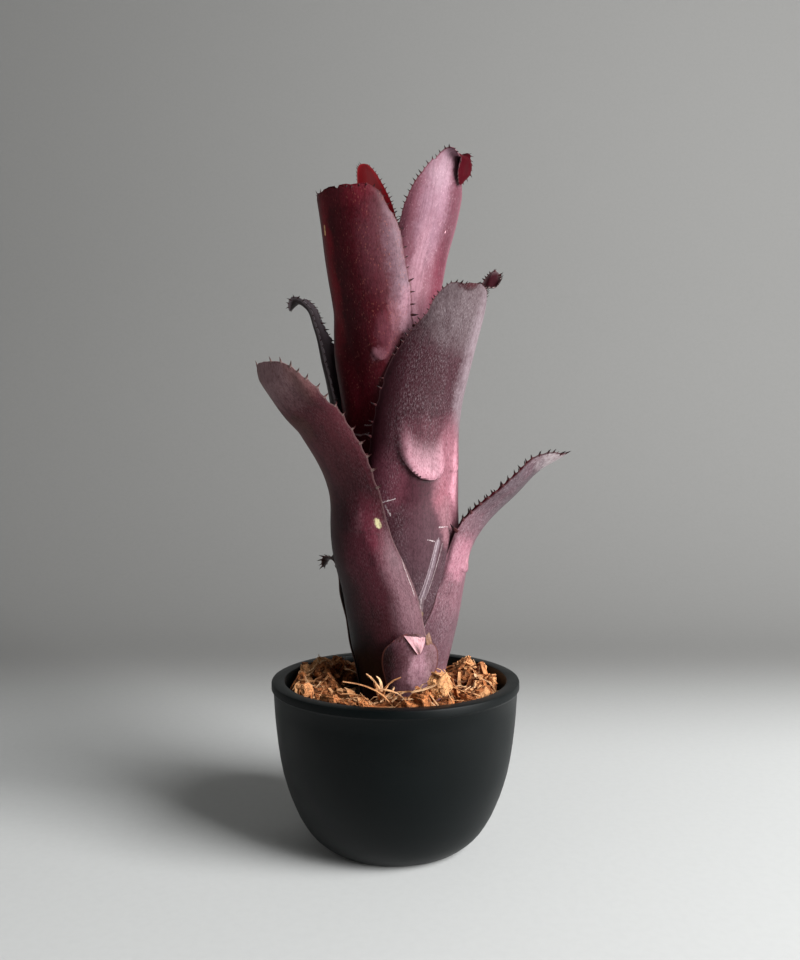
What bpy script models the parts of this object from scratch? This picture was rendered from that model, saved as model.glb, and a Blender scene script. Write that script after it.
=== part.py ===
"""A billbergia, a tube-forming bromeliad, growing in a round plastic pot topped with coconut husk chips.

Units are metres, +Z is up, and the origin is the centre of the pot's flat base. The front is -Y.
Azimuths are in degrees round the plant's own axis: 0 is the front and 90 is +X.
"""

import math
import random

import bmesh
import bpy
import numpy as np
from mathutils import Matrix, Vector, noise

GAP = 0.0004
SHARP_ANGLE = 35

# Pot: a turned bowl with a flat rim, a foot ring and a channel in its base with drain holes.
POT_HEIGHT = 0.080
POT_RIM_RADIUS = 0.0605
POT_RIM_WIDTH = 0.0064
POT_RIM_DEPTH = 0.0040
POT_RIM_STEP = 0.0009
POT_RIM_ROUNDING = 0.0008
POT_WALL_THICKNESS = 0.0042
POT_WALL_HEIGHTS = (0.0, 0.0025, 0.006, 0.012, 0.020, 0.030, 0.042, 0.056, 0.068, 0.0760)
POT_WALL_RADII = (0.0320, 0.0372, 0.0412, 0.0456, 0.0496, 0.0533, 0.0562, 0.0581, 0.0591, 0.0596)
POT_INSIDE_HEIGHTS = (0.008, 0.015, 0.024, 0.036, 0.050, 0.060)
POT_FLOOR = 0.0040
POT_SEGMENTS = 44
DRAIN_CHANNEL_INNER = 0.012
DRAIN_CHANNEL_OUTER = 0.022
DRAIN_CHANNEL_DEPTH = 0.0015
DRAIN_HOLE_COUNT = 6
DRAIN_HOLE_RADIUS = 0.0030
DRAIN_HOLE_SEGMENTS = 12

# Potting mix: fills the pot to below the rim, a little higher against the plant.
MIX_TOP_AT_WALL = 0.0690
MIX_TOP_AT_PLANT = 0.0715
MIX_BUMPS = 0.0008
MIX_BUMP_SIZE = 0.010
MIX_TOP_RINGS = (0, 0.4, 0.6, 0.8, 1)
PLANT_RECESS_HEIGHTS = (0.090, 0.078, 0.068, 0.060, 0.054)
PLANT_RECESS_SEGMENTS = 36

# Plant: the leaf bases are the layers of a tube that narrows to its foot and leans very slightly.
TUBE_HEIGHTS = (0.050, 0.078, 0.087, 0.095, 0.108, 0.123, 0.141, 0.160, 0.190, 0.260)
TUBE_RADII = (0.0222, 0.0250, 0.0267, 0.0289, 0.0313, 0.0338, 0.0372, 0.0378, 0.0378, 0.0378)
TUBE_CENTRES = (0.0042, 0.0042, 0.0042, 0.0042, 0.0042, 0.0042, 0.0030, 0.0025, 0.0022, 0.0022)
LAYER_PITCH = 0.0020
LEAF_THICKNESS = 0.0011
LEAF_ROWS = 19
LOWEST_LEAF_BASE = 0.0550
LEAF_BASE_STEP = 0.0030
SHEATH_BLEND = 0.020
TIP_CLOSURE = 0.99

# Stem: a short cone inside the tube, grown as one with its roots.
STEM_BOTTOM = 0.036
STEM_TOP = 0.093
STEM_BOTTOM_RADIUS = 0.013
STEM_TOP_RADIUS = 0.004
STEM_SHOULDER_HEIGHT = 0.051
STEM_SEGMENTS = 24
ROOT_COUNT = 6
ROOT_RADIUS = 0.0018
ROOT_LENGTH = 0.021
ROOT_HEIGHT = 0.043
ROOT_FALL = 35
ROOT_SEGMENTS = 8

# Colours of the leaves, as linear red, green and blue.
PINK_MAUVE = (0.230, 0.085, 0.130)
DARK_PLUM = (0.085, 0.030, 0.036)
GREY_PURPLE = (0.150, 0.085, 0.110)
WINE_RED = (0.075, 0.006, 0.012)
CRIMSON = (0.150, 0.004, 0.012)

# Leaves, outermost layer first. "sheath" lists (height, half wrap in degrees) up the tube, and "blade"
# goes on from its top with (reach from the axis, height, half width, half fold in degrees, drift sideways).
# "tip" is the length over which each edge closes, and "blunt" is how squarely they do.
LEAVES = {
    "basal_scale": dict(
        colour=PINK_MAUVE,
        azimuth=6, layer=0, tip=(0.020, 0.020), blunt=2.4, columns=8,
        sheath=[(0.078, 24), (0.094, 28)],
        blade=[
            (0.0306, 0.1000, 0.0146, 27, 0),
            (0.0312, 0.1045, 0.0140, 26, 0),
            (0.0310, 0.1075, 0.0130, 25, 0),
        ],
    ),
    "low_back_leaf": dict(
        colour=DARK_PLUM,
        azimuth=-125, layer=1, tip=(0.010, 0.010), blunt=2, columns=10,
        sheath=[(0.078, 28), (0.093, 28), (0.108, 24)],
        blade=[
            (0.0330, 0.1190, 0.0120, 22, 0),
            (0.0365, 0.1285, 0.0095, 30, 0),
            (0.0420, 0.1345, 0.0070, 45, 0),
            (0.0475, 0.1350, 0.0052, 45, 0),
            (0.0515, 0.1305, 0.0040, 40, 0),
        ],
    ),
    "outer_left_leaf": dict(
        colour=DARK_PLUM,
        azimuth=-60, layer=2, tip=(0.020, 0.020), blunt=2, columns=11,
        sheath=[(0.078, 100), (0.093, 92), (0.105, 84), (0.117, 78), (0.137, 64), (0.155, 50)],
        blade=[
            (0.0350, 0.1710, 0.0262, 48, 0),
            (0.0400, 0.1830, 0.0265, 51, 0),
            (0.0490, 0.1960, 0.0265, 57, 0),
            (0.0620, 0.2140, 0.0260, 60, 0),
            (0.0750, 0.2325, 0.0240, 58, 0),
        ],
    ),
    "right_leaf": dict(
        colour=PINK_MAUVE,
        azimuth=84, layer=3, tip=(0.030, 0.030), blunt=2, columns=11,
        sheath=[(0.078, 95), (0.093, 70), (0.105, 63), (0.117, 50), (0.137, 45)],
        blade=[
            (0.0350, 0.1480, 0.0215, 44, 0),
            (0.0420, 0.1575, 0.0178, 58, 0),
            (0.0550, 0.1697, 0.0154, 66, 0),
            (0.0670, 0.1820, 0.0136, 63, 0),
            (0.0815, 0.1915, 0.0100, 48, 0),
        ],
    ),
    "left_narrow_leaf": dict(
        colour=DARK_PLUM,
        azimuth=-110, layer=4, tip=(0.008, 0.008), blunt=2, columns=11,
        sheath=[(0.078, 110), (0.105, 105), (0.129, 92), (0.160, 75), (0.185, 58)],
        blade=[
            (0.0350, 0.2120, 0.0180, 55, 0),
            (0.0405, 0.2340, 0.0120, 58, 0),
            (0.0455, 0.2520, 0.0070, 58, 0),
            (0.0498, 0.2625, 0.0056, 55, 0),
            (0.0550, 0.2655, 0.0058, 50, 0),
            (0.0596, 0.2620, 0.0045, 45, 0),
        ],
    ),
    "front_leaf": dict(
        colour=GREY_PURPLE,
        azimuth=37, layer=5, tip=(0.075, 0.018), blunt=2, columns=13,
        sheath=[(0.078, 125), (0.105, 115), (0.129, 102), (0.160, 84), (0.185, 72)],
        blade=[
            (0.0310, 0.2130, 0.0316, 66, 0),
            (0.0365, 0.2350, 0.0302, 64, 0.0025),
            (0.0435, 0.2530, 0.0270, 60, 0.0030),
            (0.0470, 0.2620, 0.0245, 56, 0.0025),
            (0.0490, 0.2670, 0.0220, 52, 0.0025),
        ],
    ),
    "right_hooked_leaf": dict(
        colour=GREY_PURPLE,
        azimuth=115, layer=6, tip=(0.009, 0.009), blunt=2, columns=12,
        sheath=[(0.082, 120), (0.105, 112), (0.129, 100), (0.160, 82), (0.200, 60)],
        blade=[
            (0.0290, 0.2250, 0.0160, 42, 0),
            (0.0330, 0.2480, 0.0100, 42, 0),
            (0.0385, 0.2640, 0.0058, 45, 0),
            (0.0450, 0.2755, 0.0052, 48, 0),
            (0.0515, 0.2810, 0.0058, 48, 0),
            (0.0570, 0.2780, 0.0046, 45, 0),
        ],
    ),
    "tall_left_leaf": dict(
        colour=WINE_RED,
        azimuth=-35, layer=7, tip=(0.008, 0.030), blunt=2.4, columns=14,
        sheath=[(0.085, 125), (0.105, 120), (0.129, 112), (0.160, 100), (0.200, 82)],
        blade=[
            (0.0265, 0.2150, 0.0285, 76, 0),
            (0.0320, 0.2360, 0.0280, 74, 0),
            (0.0385, 0.2580, 0.0275, 74, 0),
            (0.0445, 0.2800, 0.0270, 74, 0),
            (0.0480, 0.2980, 0.0265, 72, 0),
            (0.0500, 0.3080, 0.0260, 70, 0),
        ],
    ),
    "red_back_leaf": dict(
        colour=CRIMSON,
        azimuth=-145, layer=8, tip=(0.040, 0.014), blunt=2, columns=12,
        sheath=[(0.090, 125), (0.129, 115), (0.160, 98), (0.200, 80)],
        blade=[
            (0.0225, 0.2500, 0.0215, 65, 0),
            (0.0245, 0.2800, 0.0190, 62, 0),
            (0.0280, 0.3050, 0.0165, 58, 0),
            (0.0315, 0.3230, 0.0135, 50, 0),
            (0.0345, 0.3385, 0.0120, 44, 0),
        ],
    ),
    "tall_right_leaf": dict(
        colour=PINK_MAUVE,
        azimuth=60, layer=9, tip=(0.040, 0.020), blunt=2, columns=14,
        sheath=[(0.092, 125), (0.129, 115), (0.160, 103), (0.200, 90)],
        blade=[
            (0.0185, 0.2400, 0.0255, 80, 0),
            (0.0190, 0.2600, 0.0245, 80, 0),
            (0.0220, 0.2800, 0.0260, 76, 0),
            (0.0285, 0.3030, 0.0265, 72, 0),
            (0.0308, 0.3150, 0.0245, 67, 0),
            (0.0322, 0.3225, 0.0215, 60, 0),
            (0.0334, 0.3258, 0.0175, 50, 0),
            (0.0346, 0.3250, 0.0130, 42, 0),
            (0.0350, 0.3200, 0.0095, 36, 0),
            (0.0346, 0.3150, 0.0070, 34, 0),
        ],
    ),
}

# Husk chips: bevelled blocks of (length, width, thickness), scattered flat on the mix round the plant.
CHIP_SIZES = (
    (0.0145, 0.0080, 0.0062),
    (0.0120, 0.0088, 0.0078),
    (0.0135, 0.0070, 0.0055),
    (0.0105, 0.0085, 0.0085),
    (0.0155, 0.0076, 0.0060),
)
CHIP_COUNT = 25
CHIP_TRIES = 4000
CHIP_BEVEL = 0.0012
CHIP_SIZE_RANGE = (0.80, 0.98)
CHIP_RING = 0.030
CHIP_SPACING = 0.0006
CHIP_TILT = 7
SEED = 11


def clear_scene():
    for obj in list(bpy.data.objects):
        bpy.data.objects.remove(obj)


def material(name, colour, roughness):
    made = bpy.data.materials.new(name)
    made.use_nodes = True
    shader = made.node_tree.nodes["Principled BSDF"]
    shader.inputs["Base Color"].default_value = (*colour, 1)
    shader.inputs["Roughness"].default_value = roughness
    return made


def add_object(name, mesh, finish=None):
    obj = bpy.data.objects.new(name, mesh)
    bpy.context.scene.collection.objects.link(obj)
    if finish:
        mesh.materials.append(finish)
    return obj


def boolean(obj, cutter, operation="DIFFERENCE"):
    cutter.hide_render = True
    cutter.display_type = "WIRE"
    step = obj.modifiers.new(cutter.name, "BOOLEAN")
    step.operation = operation
    step.solver = "EXACT"
    step.object = cutter


def curve_through(knots, values, at):
    """Values at the given places of a smooth curve through the values at the knots."""
    knots, values, at = (np.asarray(numbers, float) for numbers in (knots, values, at))
    slopes = np.gradient(values, knots, axis=0)
    low = np.clip(np.searchsorted(knots, at) - 1, 0, len(knots) - 2)
    step = knots[low + 1] - knots[low]
    part = np.clip((at - knots[low]) / step, 0, 1)
    if values.ndim > 1:
        step, part = step[:, None], part[:, None]
    rise = values[low + 1] - values[low]
    start = slopes[low] * step - rise
    end = rise - slopes[low + 1] * step
    return values[low] + part * rise + part * (1 - part) * ((1 - part) * start + part * end)


def smooth_step(low, high, value):
    part = np.clip((value - low) / (high - low), 0, 1)
    return part * part * (3 - 2 * part)


def turned(name, outline, segments, centre=0.0):
    """A closed solid of revolution from (radius, height) points that go down its outer side to its foot."""
    shape = bmesh.new()
    line = [shape.verts.new((radius, 0, height)) for radius, height in outline]
    edges = [shape.edges.new(pair) for pair in zip(line, line[1:])]
    bmesh.ops.spin(
        shape, geom=line + edges, cent=(0, 0, 0), axis=(0, 0, 1),
        angle=math.tau, steps=segments, use_merge=True, use_duplicate=False,
    )
    bmesh.ops.remove_doubles(shape, verts=shape.verts, dist=1e-6)
    bmesh.ops.recalc_face_normals(shape, faces=shape.faces)
    bmesh.ops.translate(shape, verts=shape.verts, vec=(centre, 0, 0))
    mesh = bpy.data.meshes.new(name)
    shape.to_mesh(mesh)
    shape.free()
    mesh.shade_smooth()
    mesh.set_sharp_from_angle(angle=math.radians(SHARP_ANGLE))
    return mesh


# Pot


def wall_radius(height):
    return float(curve_through(POT_WALL_HEIGHTS, POT_WALL_RADII, [height])[0])


def inside_radius(height):
    return min(POT_RIM_RADIUS - POT_RIM_WIDTH, wall_radius(height) - POT_WALL_THICKNESS)


def make_pot(finish):
    mouth = POT_RIM_RADIUS - POT_RIM_WIDTH
    rim_bottom = POT_HEIGHT - POT_RIM_DEPTH
    channel = DRAIN_CHANNEL_DEPTH
    inside = [(inside_radius(height), height) for height in POT_INSIDE_HEIGHTS]
    rim = [
        (mouth, POT_HEIGHT - POT_RIM_ROUNDING),
        (mouth + POT_RIM_ROUNDING, POT_HEIGHT),
        (POT_RIM_RADIUS - POT_RIM_ROUNDING, POT_HEIGHT),
        (POT_RIM_RADIUS, POT_HEIGHT - POT_RIM_ROUNDING),
        (POT_RIM_RADIUS, rim_bottom),
        (POT_RIM_RADIUS - POT_RIM_STEP, rim_bottom - POT_RIM_STEP / 2),
    ]
    wall = [(radius, height) for height, radius in zip(POT_WALL_HEIGHTS, POT_WALL_RADII)][-2::-1]
    foot = [
        (DRAIN_CHANNEL_OUTER + channel, 0),
        (DRAIN_CHANNEL_OUTER, channel),
        (DRAIN_CHANNEL_INNER, channel),
        (DRAIN_CHANNEL_INNER - channel, 0),
        (0, 0),
    ]
    floor = [(0, POT_FLOOR), (inside_radius(POT_FLOOR), POT_FLOOR)]
    pot = add_object("pot", turned("pot", floor + inside + rim + wall + foot, POT_SEGMENTS), finish)
    middle = (DRAIN_CHANNEL_INNER + DRAIN_CHANNEL_OUTER) / 2
    for number in range(DRAIN_HOLE_COUNT):
        angle = math.tau * number / DRAIN_HOLE_COUNT
        bpy.ops.mesh.primitive_cylinder_add(
            vertices=DRAIN_HOLE_SEGMENTS, radius=DRAIN_HOLE_RADIUS, depth=3 * POT_FLOOR,
            location=(middle * math.cos(angle), middle * math.sin(angle), 0),
        )
        hole = bpy.context.object
        hole.name = f"drain_hole_{number + 1}"
        boolean(pot, hole)


# Leaves


def tube_radius(height, layer):
    return curve_through(TUBE_HEIGHTS, TUBE_RADII, height) - layer * LAYER_PITCH


def tube_centre(height):
    return curve_through(TUBE_HEIGHTS, TUBE_CENTRES, height)


def leaf_stations(leaf):
    """Reach, height, bend radius, half fold and drift from the leaf's base to its tip."""
    base = LOWEST_LEAF_BASE + leaf["layer"] * LEAF_BASE_STEP
    stations = []
    for height, wrap in [(base, leaf["sheath"][0][1]), *leaf["sheath"]]:
        radius = float(tube_radius([height], leaf["layer"])[0])
        stations.append((radius, height, radius, math.radians(wrap), 0))
    for reach, height, half_width, fold, drift in leaf["blade"]:
        fold = math.radians(fold)
        stations.append((reach, height, half_width / fold, fold, drift))
    return np.array(stations)


def leaf_points(leaf, rows, columns):
    """Points of the leaf's middle surface, row by row from its base to its tip."""
    stations = leaf_stations(leaf)
    top_of_sheath = leaf["sheath"][-1][0]
    steps = np.linalg.norm(np.diff(stations[:, :2], axis=0), axis=1)
    along = np.concatenate([[0], np.cumsum(steps)])
    length = along[-1]
    at = curve_through(np.linspace(0, 1, len(along)), along, np.linspace(0, 1, rows))
    reach, height, bend, fold, drift = curve_through(along, stations, at).T
    in_sheath = (height < top_of_sheath) & (at < along[len(leaf["sheath"])] + 1e-6)
    reach = np.where(in_sheath, tube_radius(height, leaf["layer"]), reach)
    bend = np.where(in_sheath, reach, bend)
    sides = []
    for tip in leaf["tip"]:
        close = np.clip((at - length + tip) / tip, 0, TIP_CLOSURE)
        sides.append(fold * (1 - close ** leaf["blunt"]) ** (1 / leaf["blunt"]))

    azimuth = math.radians(leaf["azimuth"])
    out = np.array([math.sin(azimuth), -math.cos(azimuth), 0.0])
    side = np.array([math.cos(azimuth), math.sin(azimuth), 0.0])
    up = np.array([0.0, 0.0, 1.0])
    spine = reach[:, None] * out + drift[:, None] * side + height[:, None] * up
    spine[:, 0] += tube_centre(np.minimum(height, top_of_sheath))
    ahead = np.gradient(spine, at, axis=0)
    lean = np.maximum.accumulate(smooth_step(0, SHEATH_BLEND, height - top_of_sheath))
    ahead = up + (ahead - up) * lean[:, None]
    ahead /= np.linalg.norm(ahead, axis=1)[:, None]
    across = side - (ahead @ side)[:, None] * ahead
    across /= np.linalg.norm(across, axis=1)[:, None]
    outward = np.cross(across, ahead)
    turn = np.linspace(-sides[0], sides[1], columns + 1, axis=1)
    sideways = (bend[:, None] * np.sin(turn))[:, :, None]
    inwards = (bend[:, None] * (1 - np.cos(turn)))[:, :, None]
    return spine[:, None, :] + sideways * across[:, None, :] - inwards * outward[:, None, :]


def make_leaf(name, leaf, finish):
    points = leaf_points(leaf, LEAF_ROWS, leaf["columns"])
    rows, columns = points.shape[:2]
    corner = np.arange(rows * columns).reshape(rows, columns)
    faces = np.stack([corner[:-1, :-1], corner[:-1, 1:], corner[1:, 1:], corner[1:, :-1]], axis=-1)
    mesh = bpy.data.meshes.new(name)
    mesh.from_pydata(points.reshape(-1, 3).tolist(), [], faces.reshape(-1, 4).tolist())
    mesh.shade_smooth()
    obj = add_object(name, mesh, finish)
    wall = obj.modifiers.new("thickness", "SOLIDIFY")
    wall.thickness = LEAF_THICKNESS
    wall.offset = 0


# Stem and potting mix


def stem_solid(name, clearance):
    """The stem with its roots: its cone stays inside the foot of every leaf that it carries."""
    shoulder = []
    for layer in range(len(LEAVES)):
        height = LOWEST_LEAF_BASE + layer * LEAF_BASE_STEP
        radius = float(tube_radius([height], layer + 0.5)[0]) - GAP
        shoulder.append((radius + clearance, height))
    outline = [
        (0, STEM_TOP + clearance), (STEM_TOP_RADIUS + clearance, STEM_TOP + clearance),
        *shoulder[::-1],
        (shoulder[0][0], STEM_SHOULDER_HEIGHT),
        (STEM_BOTTOM_RADIUS + clearance, STEM_BOTTOM - clearance), (0, STEM_BOTTOM - clearance),
    ]
    centre = TUBE_CENTRES[0]
    stem = add_object(name, turned(name, outline, STEM_SEGMENTS, centre))
    reach = ROOT_LENGTH + clearance
    for number in range(ROOT_COUNT):
        turn = Matrix.Rotation(math.tau * (number + 0.5) / ROOT_COUNT, 4, "Z")
        fall = Matrix.Rotation(math.radians(90 + ROOT_FALL), 4, "Y")
        start = Matrix.Translation((centre, 0, ROOT_HEIGHT))
        place = start @ turn @ fall @ Matrix.Translation((0, 0, STEM_BOTTOM_RADIUS / 2 + reach / 2))
        bpy.ops.mesh.primitive_cone_add(
            vertices=ROOT_SEGMENTS, radius1=ROOT_RADIUS + clearance, radius2=ROOT_RADIUS / 2 + clearance,
            depth=reach,
        )
        root = bpy.context.object
        root.name = f"{name}_root_{number + 1}"
        root.matrix_world = place
        boolean(stem, root, "UNION")
    return stem


def mix_top(radius):
    share = radius / (inside_radius(MIX_TOP_AT_WALL) - GAP)
    return MIX_TOP_AT_PLANT + (MIX_TOP_AT_WALL - MIX_TOP_AT_PLANT) * share


def make_mix(finish):
    wall = [(inside_radius(height) - GAP, height) for height in POT_INSIDE_HEIGHTS[::-1]]
    top_radius = inside_radius(MIX_TOP_AT_WALL) - GAP
    top = [(top_radius * ring, mix_top(top_radius * ring)) for ring in MIX_TOP_RINGS]
    bottom = POT_FLOOR + GAP
    outline = top + wall + [(inside_radius(POT_FLOOR) - GAP, bottom), (0, bottom)]
    mesh = turned("potting_mix", outline, POT_SEGMENTS)
    for vertex in mesh.vertices:
        if vertex.co.z > MIX_TOP_AT_WALL - GAP:
            vertex.co.z += MIX_BUMPS * noise.noise(vertex.co / MIX_BUMP_SIZE)
    mix = add_object("potting_mix", mesh, finish)
    clear = LEAF_THICKNESS / 2 + GAP
    side = [(float(tube_radius([height], 0)[0]) + clear, height) for height in PLANT_RECESS_HEIGHTS]
    recess = [(0, PLANT_RECESS_HEIGHTS[0]), *side, (0, PLANT_RECESS_HEIGHTS[-1])]
    recess_mesh = turned("plant_recess", recess, PLANT_RECESS_SEGMENTS, TUBE_CENTRES[0])
    boolean(mix, add_object("plant_recess", recess_mesh))
    boolean(mix, stem_solid("stem_recess", GAP))


# Husk chips


def corners(chip):
    x, y, angle, (length, width, _) = chip
    along = Vector((math.cos(angle), math.sin(angle))) * (length / 2)
    across = Vector((-math.sin(angle), math.cos(angle))) * (width / 2)
    middle = Vector((x, y))
    return [middle + along * i + across * j for i, j in ((1, 1), (-1, 1), (-1, -1), (1, -1))]


def apart(one, other):
    """True where a line along a side of either chip's footprint separates the two."""
    for angle in (one[2], one[2] + math.pi / 2, other[2], other[2] + math.pi / 2):
        line = Vector((math.cos(angle), math.sin(angle)))
        first = [corner.dot(line) for corner in corners(one)]
        second = [corner.dot(line) for corner in corners(other)]
        if min(second) - max(first) > CHIP_SPACING or min(first) - max(second) > CHIP_SPACING:
            return True
    return False


def scattered_chips():
    chance = random.Random(SEED)
    outer = inside_radius(MIX_TOP_AT_WALL) - 2 * GAP
    plant = Vector((TUBE_CENTRES[1], 0))
    clear_of_plant = float(tube_radius([MIX_TOP_AT_WALL], 0)[0]) + LEAF_THICKNESS + 3 * GAP
    chips = []
    for _ in range(CHIP_TRIES):
        radius = chance.uniform(CHIP_RING, outer)
        angle = chance.uniform(0, math.tau)
        size = CHIP_SIZES[len(chips) % len(CHIP_SIZES)]
        chip = (radius * math.cos(angle), radius * math.sin(angle), chance.uniform(0, math.pi), size)
        points = corners(chip)
        points += [(a + b) / 2 for a, b in zip(points, points[1:] + points[:1])]
        if max(point.length for point in points) > outer:
            continue
        if min((point - plant).length for point in points) < clear_of_plant:
            continue
        if all(apart(chip, other) for other in chips):
            chips.append(chip)
        if len(chips) == CHIP_COUNT:
            break
    return chips


def make_chips(finish):
    chance = random.Random(SEED)
    for number, (x, y, angle, (length, width, thickness)) in enumerate(scattered_chips(), 1):
        name = f"husk_chip_{number:02d}"
        shape = bmesh.new()
        bmesh.ops.create_cube(shape, size=1)
        bmesh.ops.scale(shape, vec=(length, width, thickness), verts=shape.verts)
        for vertex in shape.verts:
            vertex.co.x *= chance.uniform(*CHIP_SIZE_RANGE)
            vertex.co.y *= chance.uniform(*CHIP_SIZE_RANGE)
        bmesh.ops.bevel(
            shape, geom=shape.edges, offset=CHIP_BEVEL, segments=1, affect="EDGES", profile=0.5,
        )
        mesh = bpy.data.meshes.new(name)
        shape.to_mesh(mesh)
        shape.free()
        chip = add_object(name, mesh, finish)
        tilt = math.radians(CHIP_TILT)
        lift = math.sin(tilt) * length / 2
        chip.location = (x, y, mix_top(math.hypot(x, y)) + MIX_BUMPS + lift + thickness / 2)
        chip.rotation_euler = (chance.uniform(-tilt, tilt), chance.uniform(-tilt, tilt), angle)


def main():
    clear_scene()
    black = material("pot_black", (0.013, 0.014, 0.015), 0.5)
    brown = material("potting_mix_brown", (0.045, 0.022, 0.012), 0.95)
    cream = material("stem_cream", (0.50, 0.40, 0.25), 0.7)
    husk = material("husk_orange_brown", (0.36, 0.15, 0.06), 0.9)
    make_pot(black)
    make_mix(brown)
    stem_solid("stem", 0).data.materials.append(cream)
    for name, leaf in LEAVES.items():
        make_leaf(name, leaf, material(name, leaf["colour"], 0.5))
    make_chips(husk)


main()
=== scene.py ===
import math
import random

import bpy
import numpy as np
from mathutils import Euler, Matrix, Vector, noise
from mathutils.bvhtree import BVHTree


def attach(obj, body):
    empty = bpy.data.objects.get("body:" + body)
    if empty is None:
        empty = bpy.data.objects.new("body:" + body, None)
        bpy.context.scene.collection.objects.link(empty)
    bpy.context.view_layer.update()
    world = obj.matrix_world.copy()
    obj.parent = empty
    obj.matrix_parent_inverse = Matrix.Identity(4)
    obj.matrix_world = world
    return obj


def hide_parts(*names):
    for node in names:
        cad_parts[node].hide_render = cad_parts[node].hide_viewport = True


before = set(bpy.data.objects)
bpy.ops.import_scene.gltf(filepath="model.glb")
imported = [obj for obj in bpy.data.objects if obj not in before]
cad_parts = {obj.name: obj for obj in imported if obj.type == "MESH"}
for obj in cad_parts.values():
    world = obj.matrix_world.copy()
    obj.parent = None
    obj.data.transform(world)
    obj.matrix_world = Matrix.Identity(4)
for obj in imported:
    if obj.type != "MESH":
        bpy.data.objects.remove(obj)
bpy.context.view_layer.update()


# ---- Pot ----
# A round nursery pot in matt black polypropylene, with a square rim and a rounded foot. Six drain holes
# open into a ring channel under its base. The whole pot is one moulding.


def metres(numbers):
    """Millimetres as metres, in a number or in lists and tuples of numbers."""
    if isinstance(numbers, (list, tuple)):
        return type(numbers)(metres(number) for number in numbers)
    return numbers / 1000


POT_SIDES = 128
POT_HEIGHT = 0.080
POT_MOUTH = 0.0541
POT_RIM = 0.0605
RIM_EDGE = 0.0009
RIM_FOOT = 0.0764
RIM_FOOT_BEVEL = (0.0005, 0.0006)
WALL_THICKNESS = 0.0042
FLOOR_TOP = 0.0040
FLOOR_FLAT = 0.020
FLOOR_EDGE = 0.033
FLOOR_FALL = 0.0002
WALL = metres([
    (32, 0), (35, 1), (37.2, 2.5), (39.3, 4.2), (41.2, 6), (43.6, 8.9), (45.6, 12), (47.8, 15.9),
    (49.6, 20), (51.6, 24.9), (53.3, 30), (55, 36), (56.2, 42), (57.3, 49), (58.1, 56), (58.7, 62),
    (59.1, 68), (59.5, 75),
])
DRAIN_CHANNEL = (0.012, 0.022)
CHANNEL_DEPTH = 0.0015
DRAIN_HOLES = 6
DRAIN_HOLE_RADIUS = 0.003
DRAIN_HOLE_SIDES = 24


class Finish:
    """One output of a material's nodes, or just its tree, on which sums are written as plain expressions."""

    def __init__(self, tree, output=None):
        self.tree = tree
        self.output = output

    def node(self, kind, settings=None, inputs=None, output=0):
        made = self.tree.nodes.new("ShaderNode" + kind)
        for name, value in (settings or {}).items():
            if name == "stops":
                elements = made.color_ramp.elements
                for place, (at, colour) in enumerate(value):
                    stop = elements[place] if place < 2 else elements.new(at)
                    stop.position = at
                    stop.color = (*colour, 1)
            else:
                setattr(made, name, value)
        for name, value in (inputs or {}).items():
            if isinstance(value, Finish):
                self.tree.links.new(value.output, made.inputs[name])
            else:
                made.inputs[name].default_value = value
        return Finish(self.tree, made.outputs[output])

    def sum(self, operation, *values):
        return self.node("Math", {"operation": operation}, dict(enumerate(values)))

    def __add__(self, other):
        return self.sum("ADD", self, other)

    def __sub__(self, other):
        return self.sum("SUBTRACT", self, other)

    def __rsub__(self, other):
        return self.sum("SUBTRACT", other, self)

    def __mul__(self, other):
        return self.sum("MULTIPLY", self, other)

    __radd__ = __add__
    __rmul__ = __mul__

    def step(self, low, high):
        """0 where this is at low or beyond it, 1 at high, and smooth between the two."""
        inputs = {"Value": self, "From Min": low, "From Max": high}
        return self.node("MapRange", {"interpolation_type": "SMOOTHSTEP"}, inputs)

    def clipped(self):
        return self.node("Clamp", None, {"Value": self})

    def colour(self, value):
        made = self.node("RGB")
        made.output.default_value = (*value, 1)
        return made

    def tint(self, share, other, blend="MIX"):
        """This colour with a share of another over it."""
        other = other if isinstance(other, Finish) else (*other, 1)
        return self.node("Mix", {"data_type": "RGBA", "blend_type": blend}, {0: share, 6: self, 7: other}, 2)

    def place(self):
        return self.node("TexCoord", output=3)

    def own(self, name, output=1):
        """What the mesh carries as an attribute: a vector, or with output 2 a number."""
        return self.node("Attribute", {"attribute_name": name}, output=output)

    def parts(self):
        split = self.node("SeparateXYZ", None, {0: self})
        return [Finish(self.tree, output) for output in split.output.node.outputs]

    def scaled(self, by, shift=(0, 0, 0)):
        return self.node("Mapping", None, {"Vector": self, "Scale": by, "Location": shift})

    def grain(self, size, detail=3.0, rough=0.55):
        """Noise whose features are about this size, in metres where the place is."""
        inputs = {"Vector": self, "Scale": 1 / size, "Detail": detail, "Roughness": rough}
        return self.node("TexNoise", None, inputs)

    def cells(self, size):
        """0 at the middle of scattered cells of about this size, rising to their sides."""
        return self.node("TexVoronoi", None, {"Vector": self, "Scale": 1 / size})

    def bump(self, depth, strength=1.0):
        return self.node("Bump", None, {"Strength": strength, "Distance": depth, "Height": self})


def new_finish(name, **sockets):
    """A material with its one shader set. It comes back with its node tree, ready for sums."""
    made = bpy.data.materials.new(name)
    made.use_nodes = True
    for socket, value in sockets.items():
        made.node_tree.nodes["Principled BSDF"].inputs[socket.replace("_", " ")].default_value = value
    return made, Finish(made.node_tree)


def wire(made, **sockets):
    for socket, value in sockets.items():
        shader = made.node_tree.nodes["Principled BSDF"]
        made.node_tree.links.new(value.output, shader.inputs[socket.replace("_", " ")])


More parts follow.
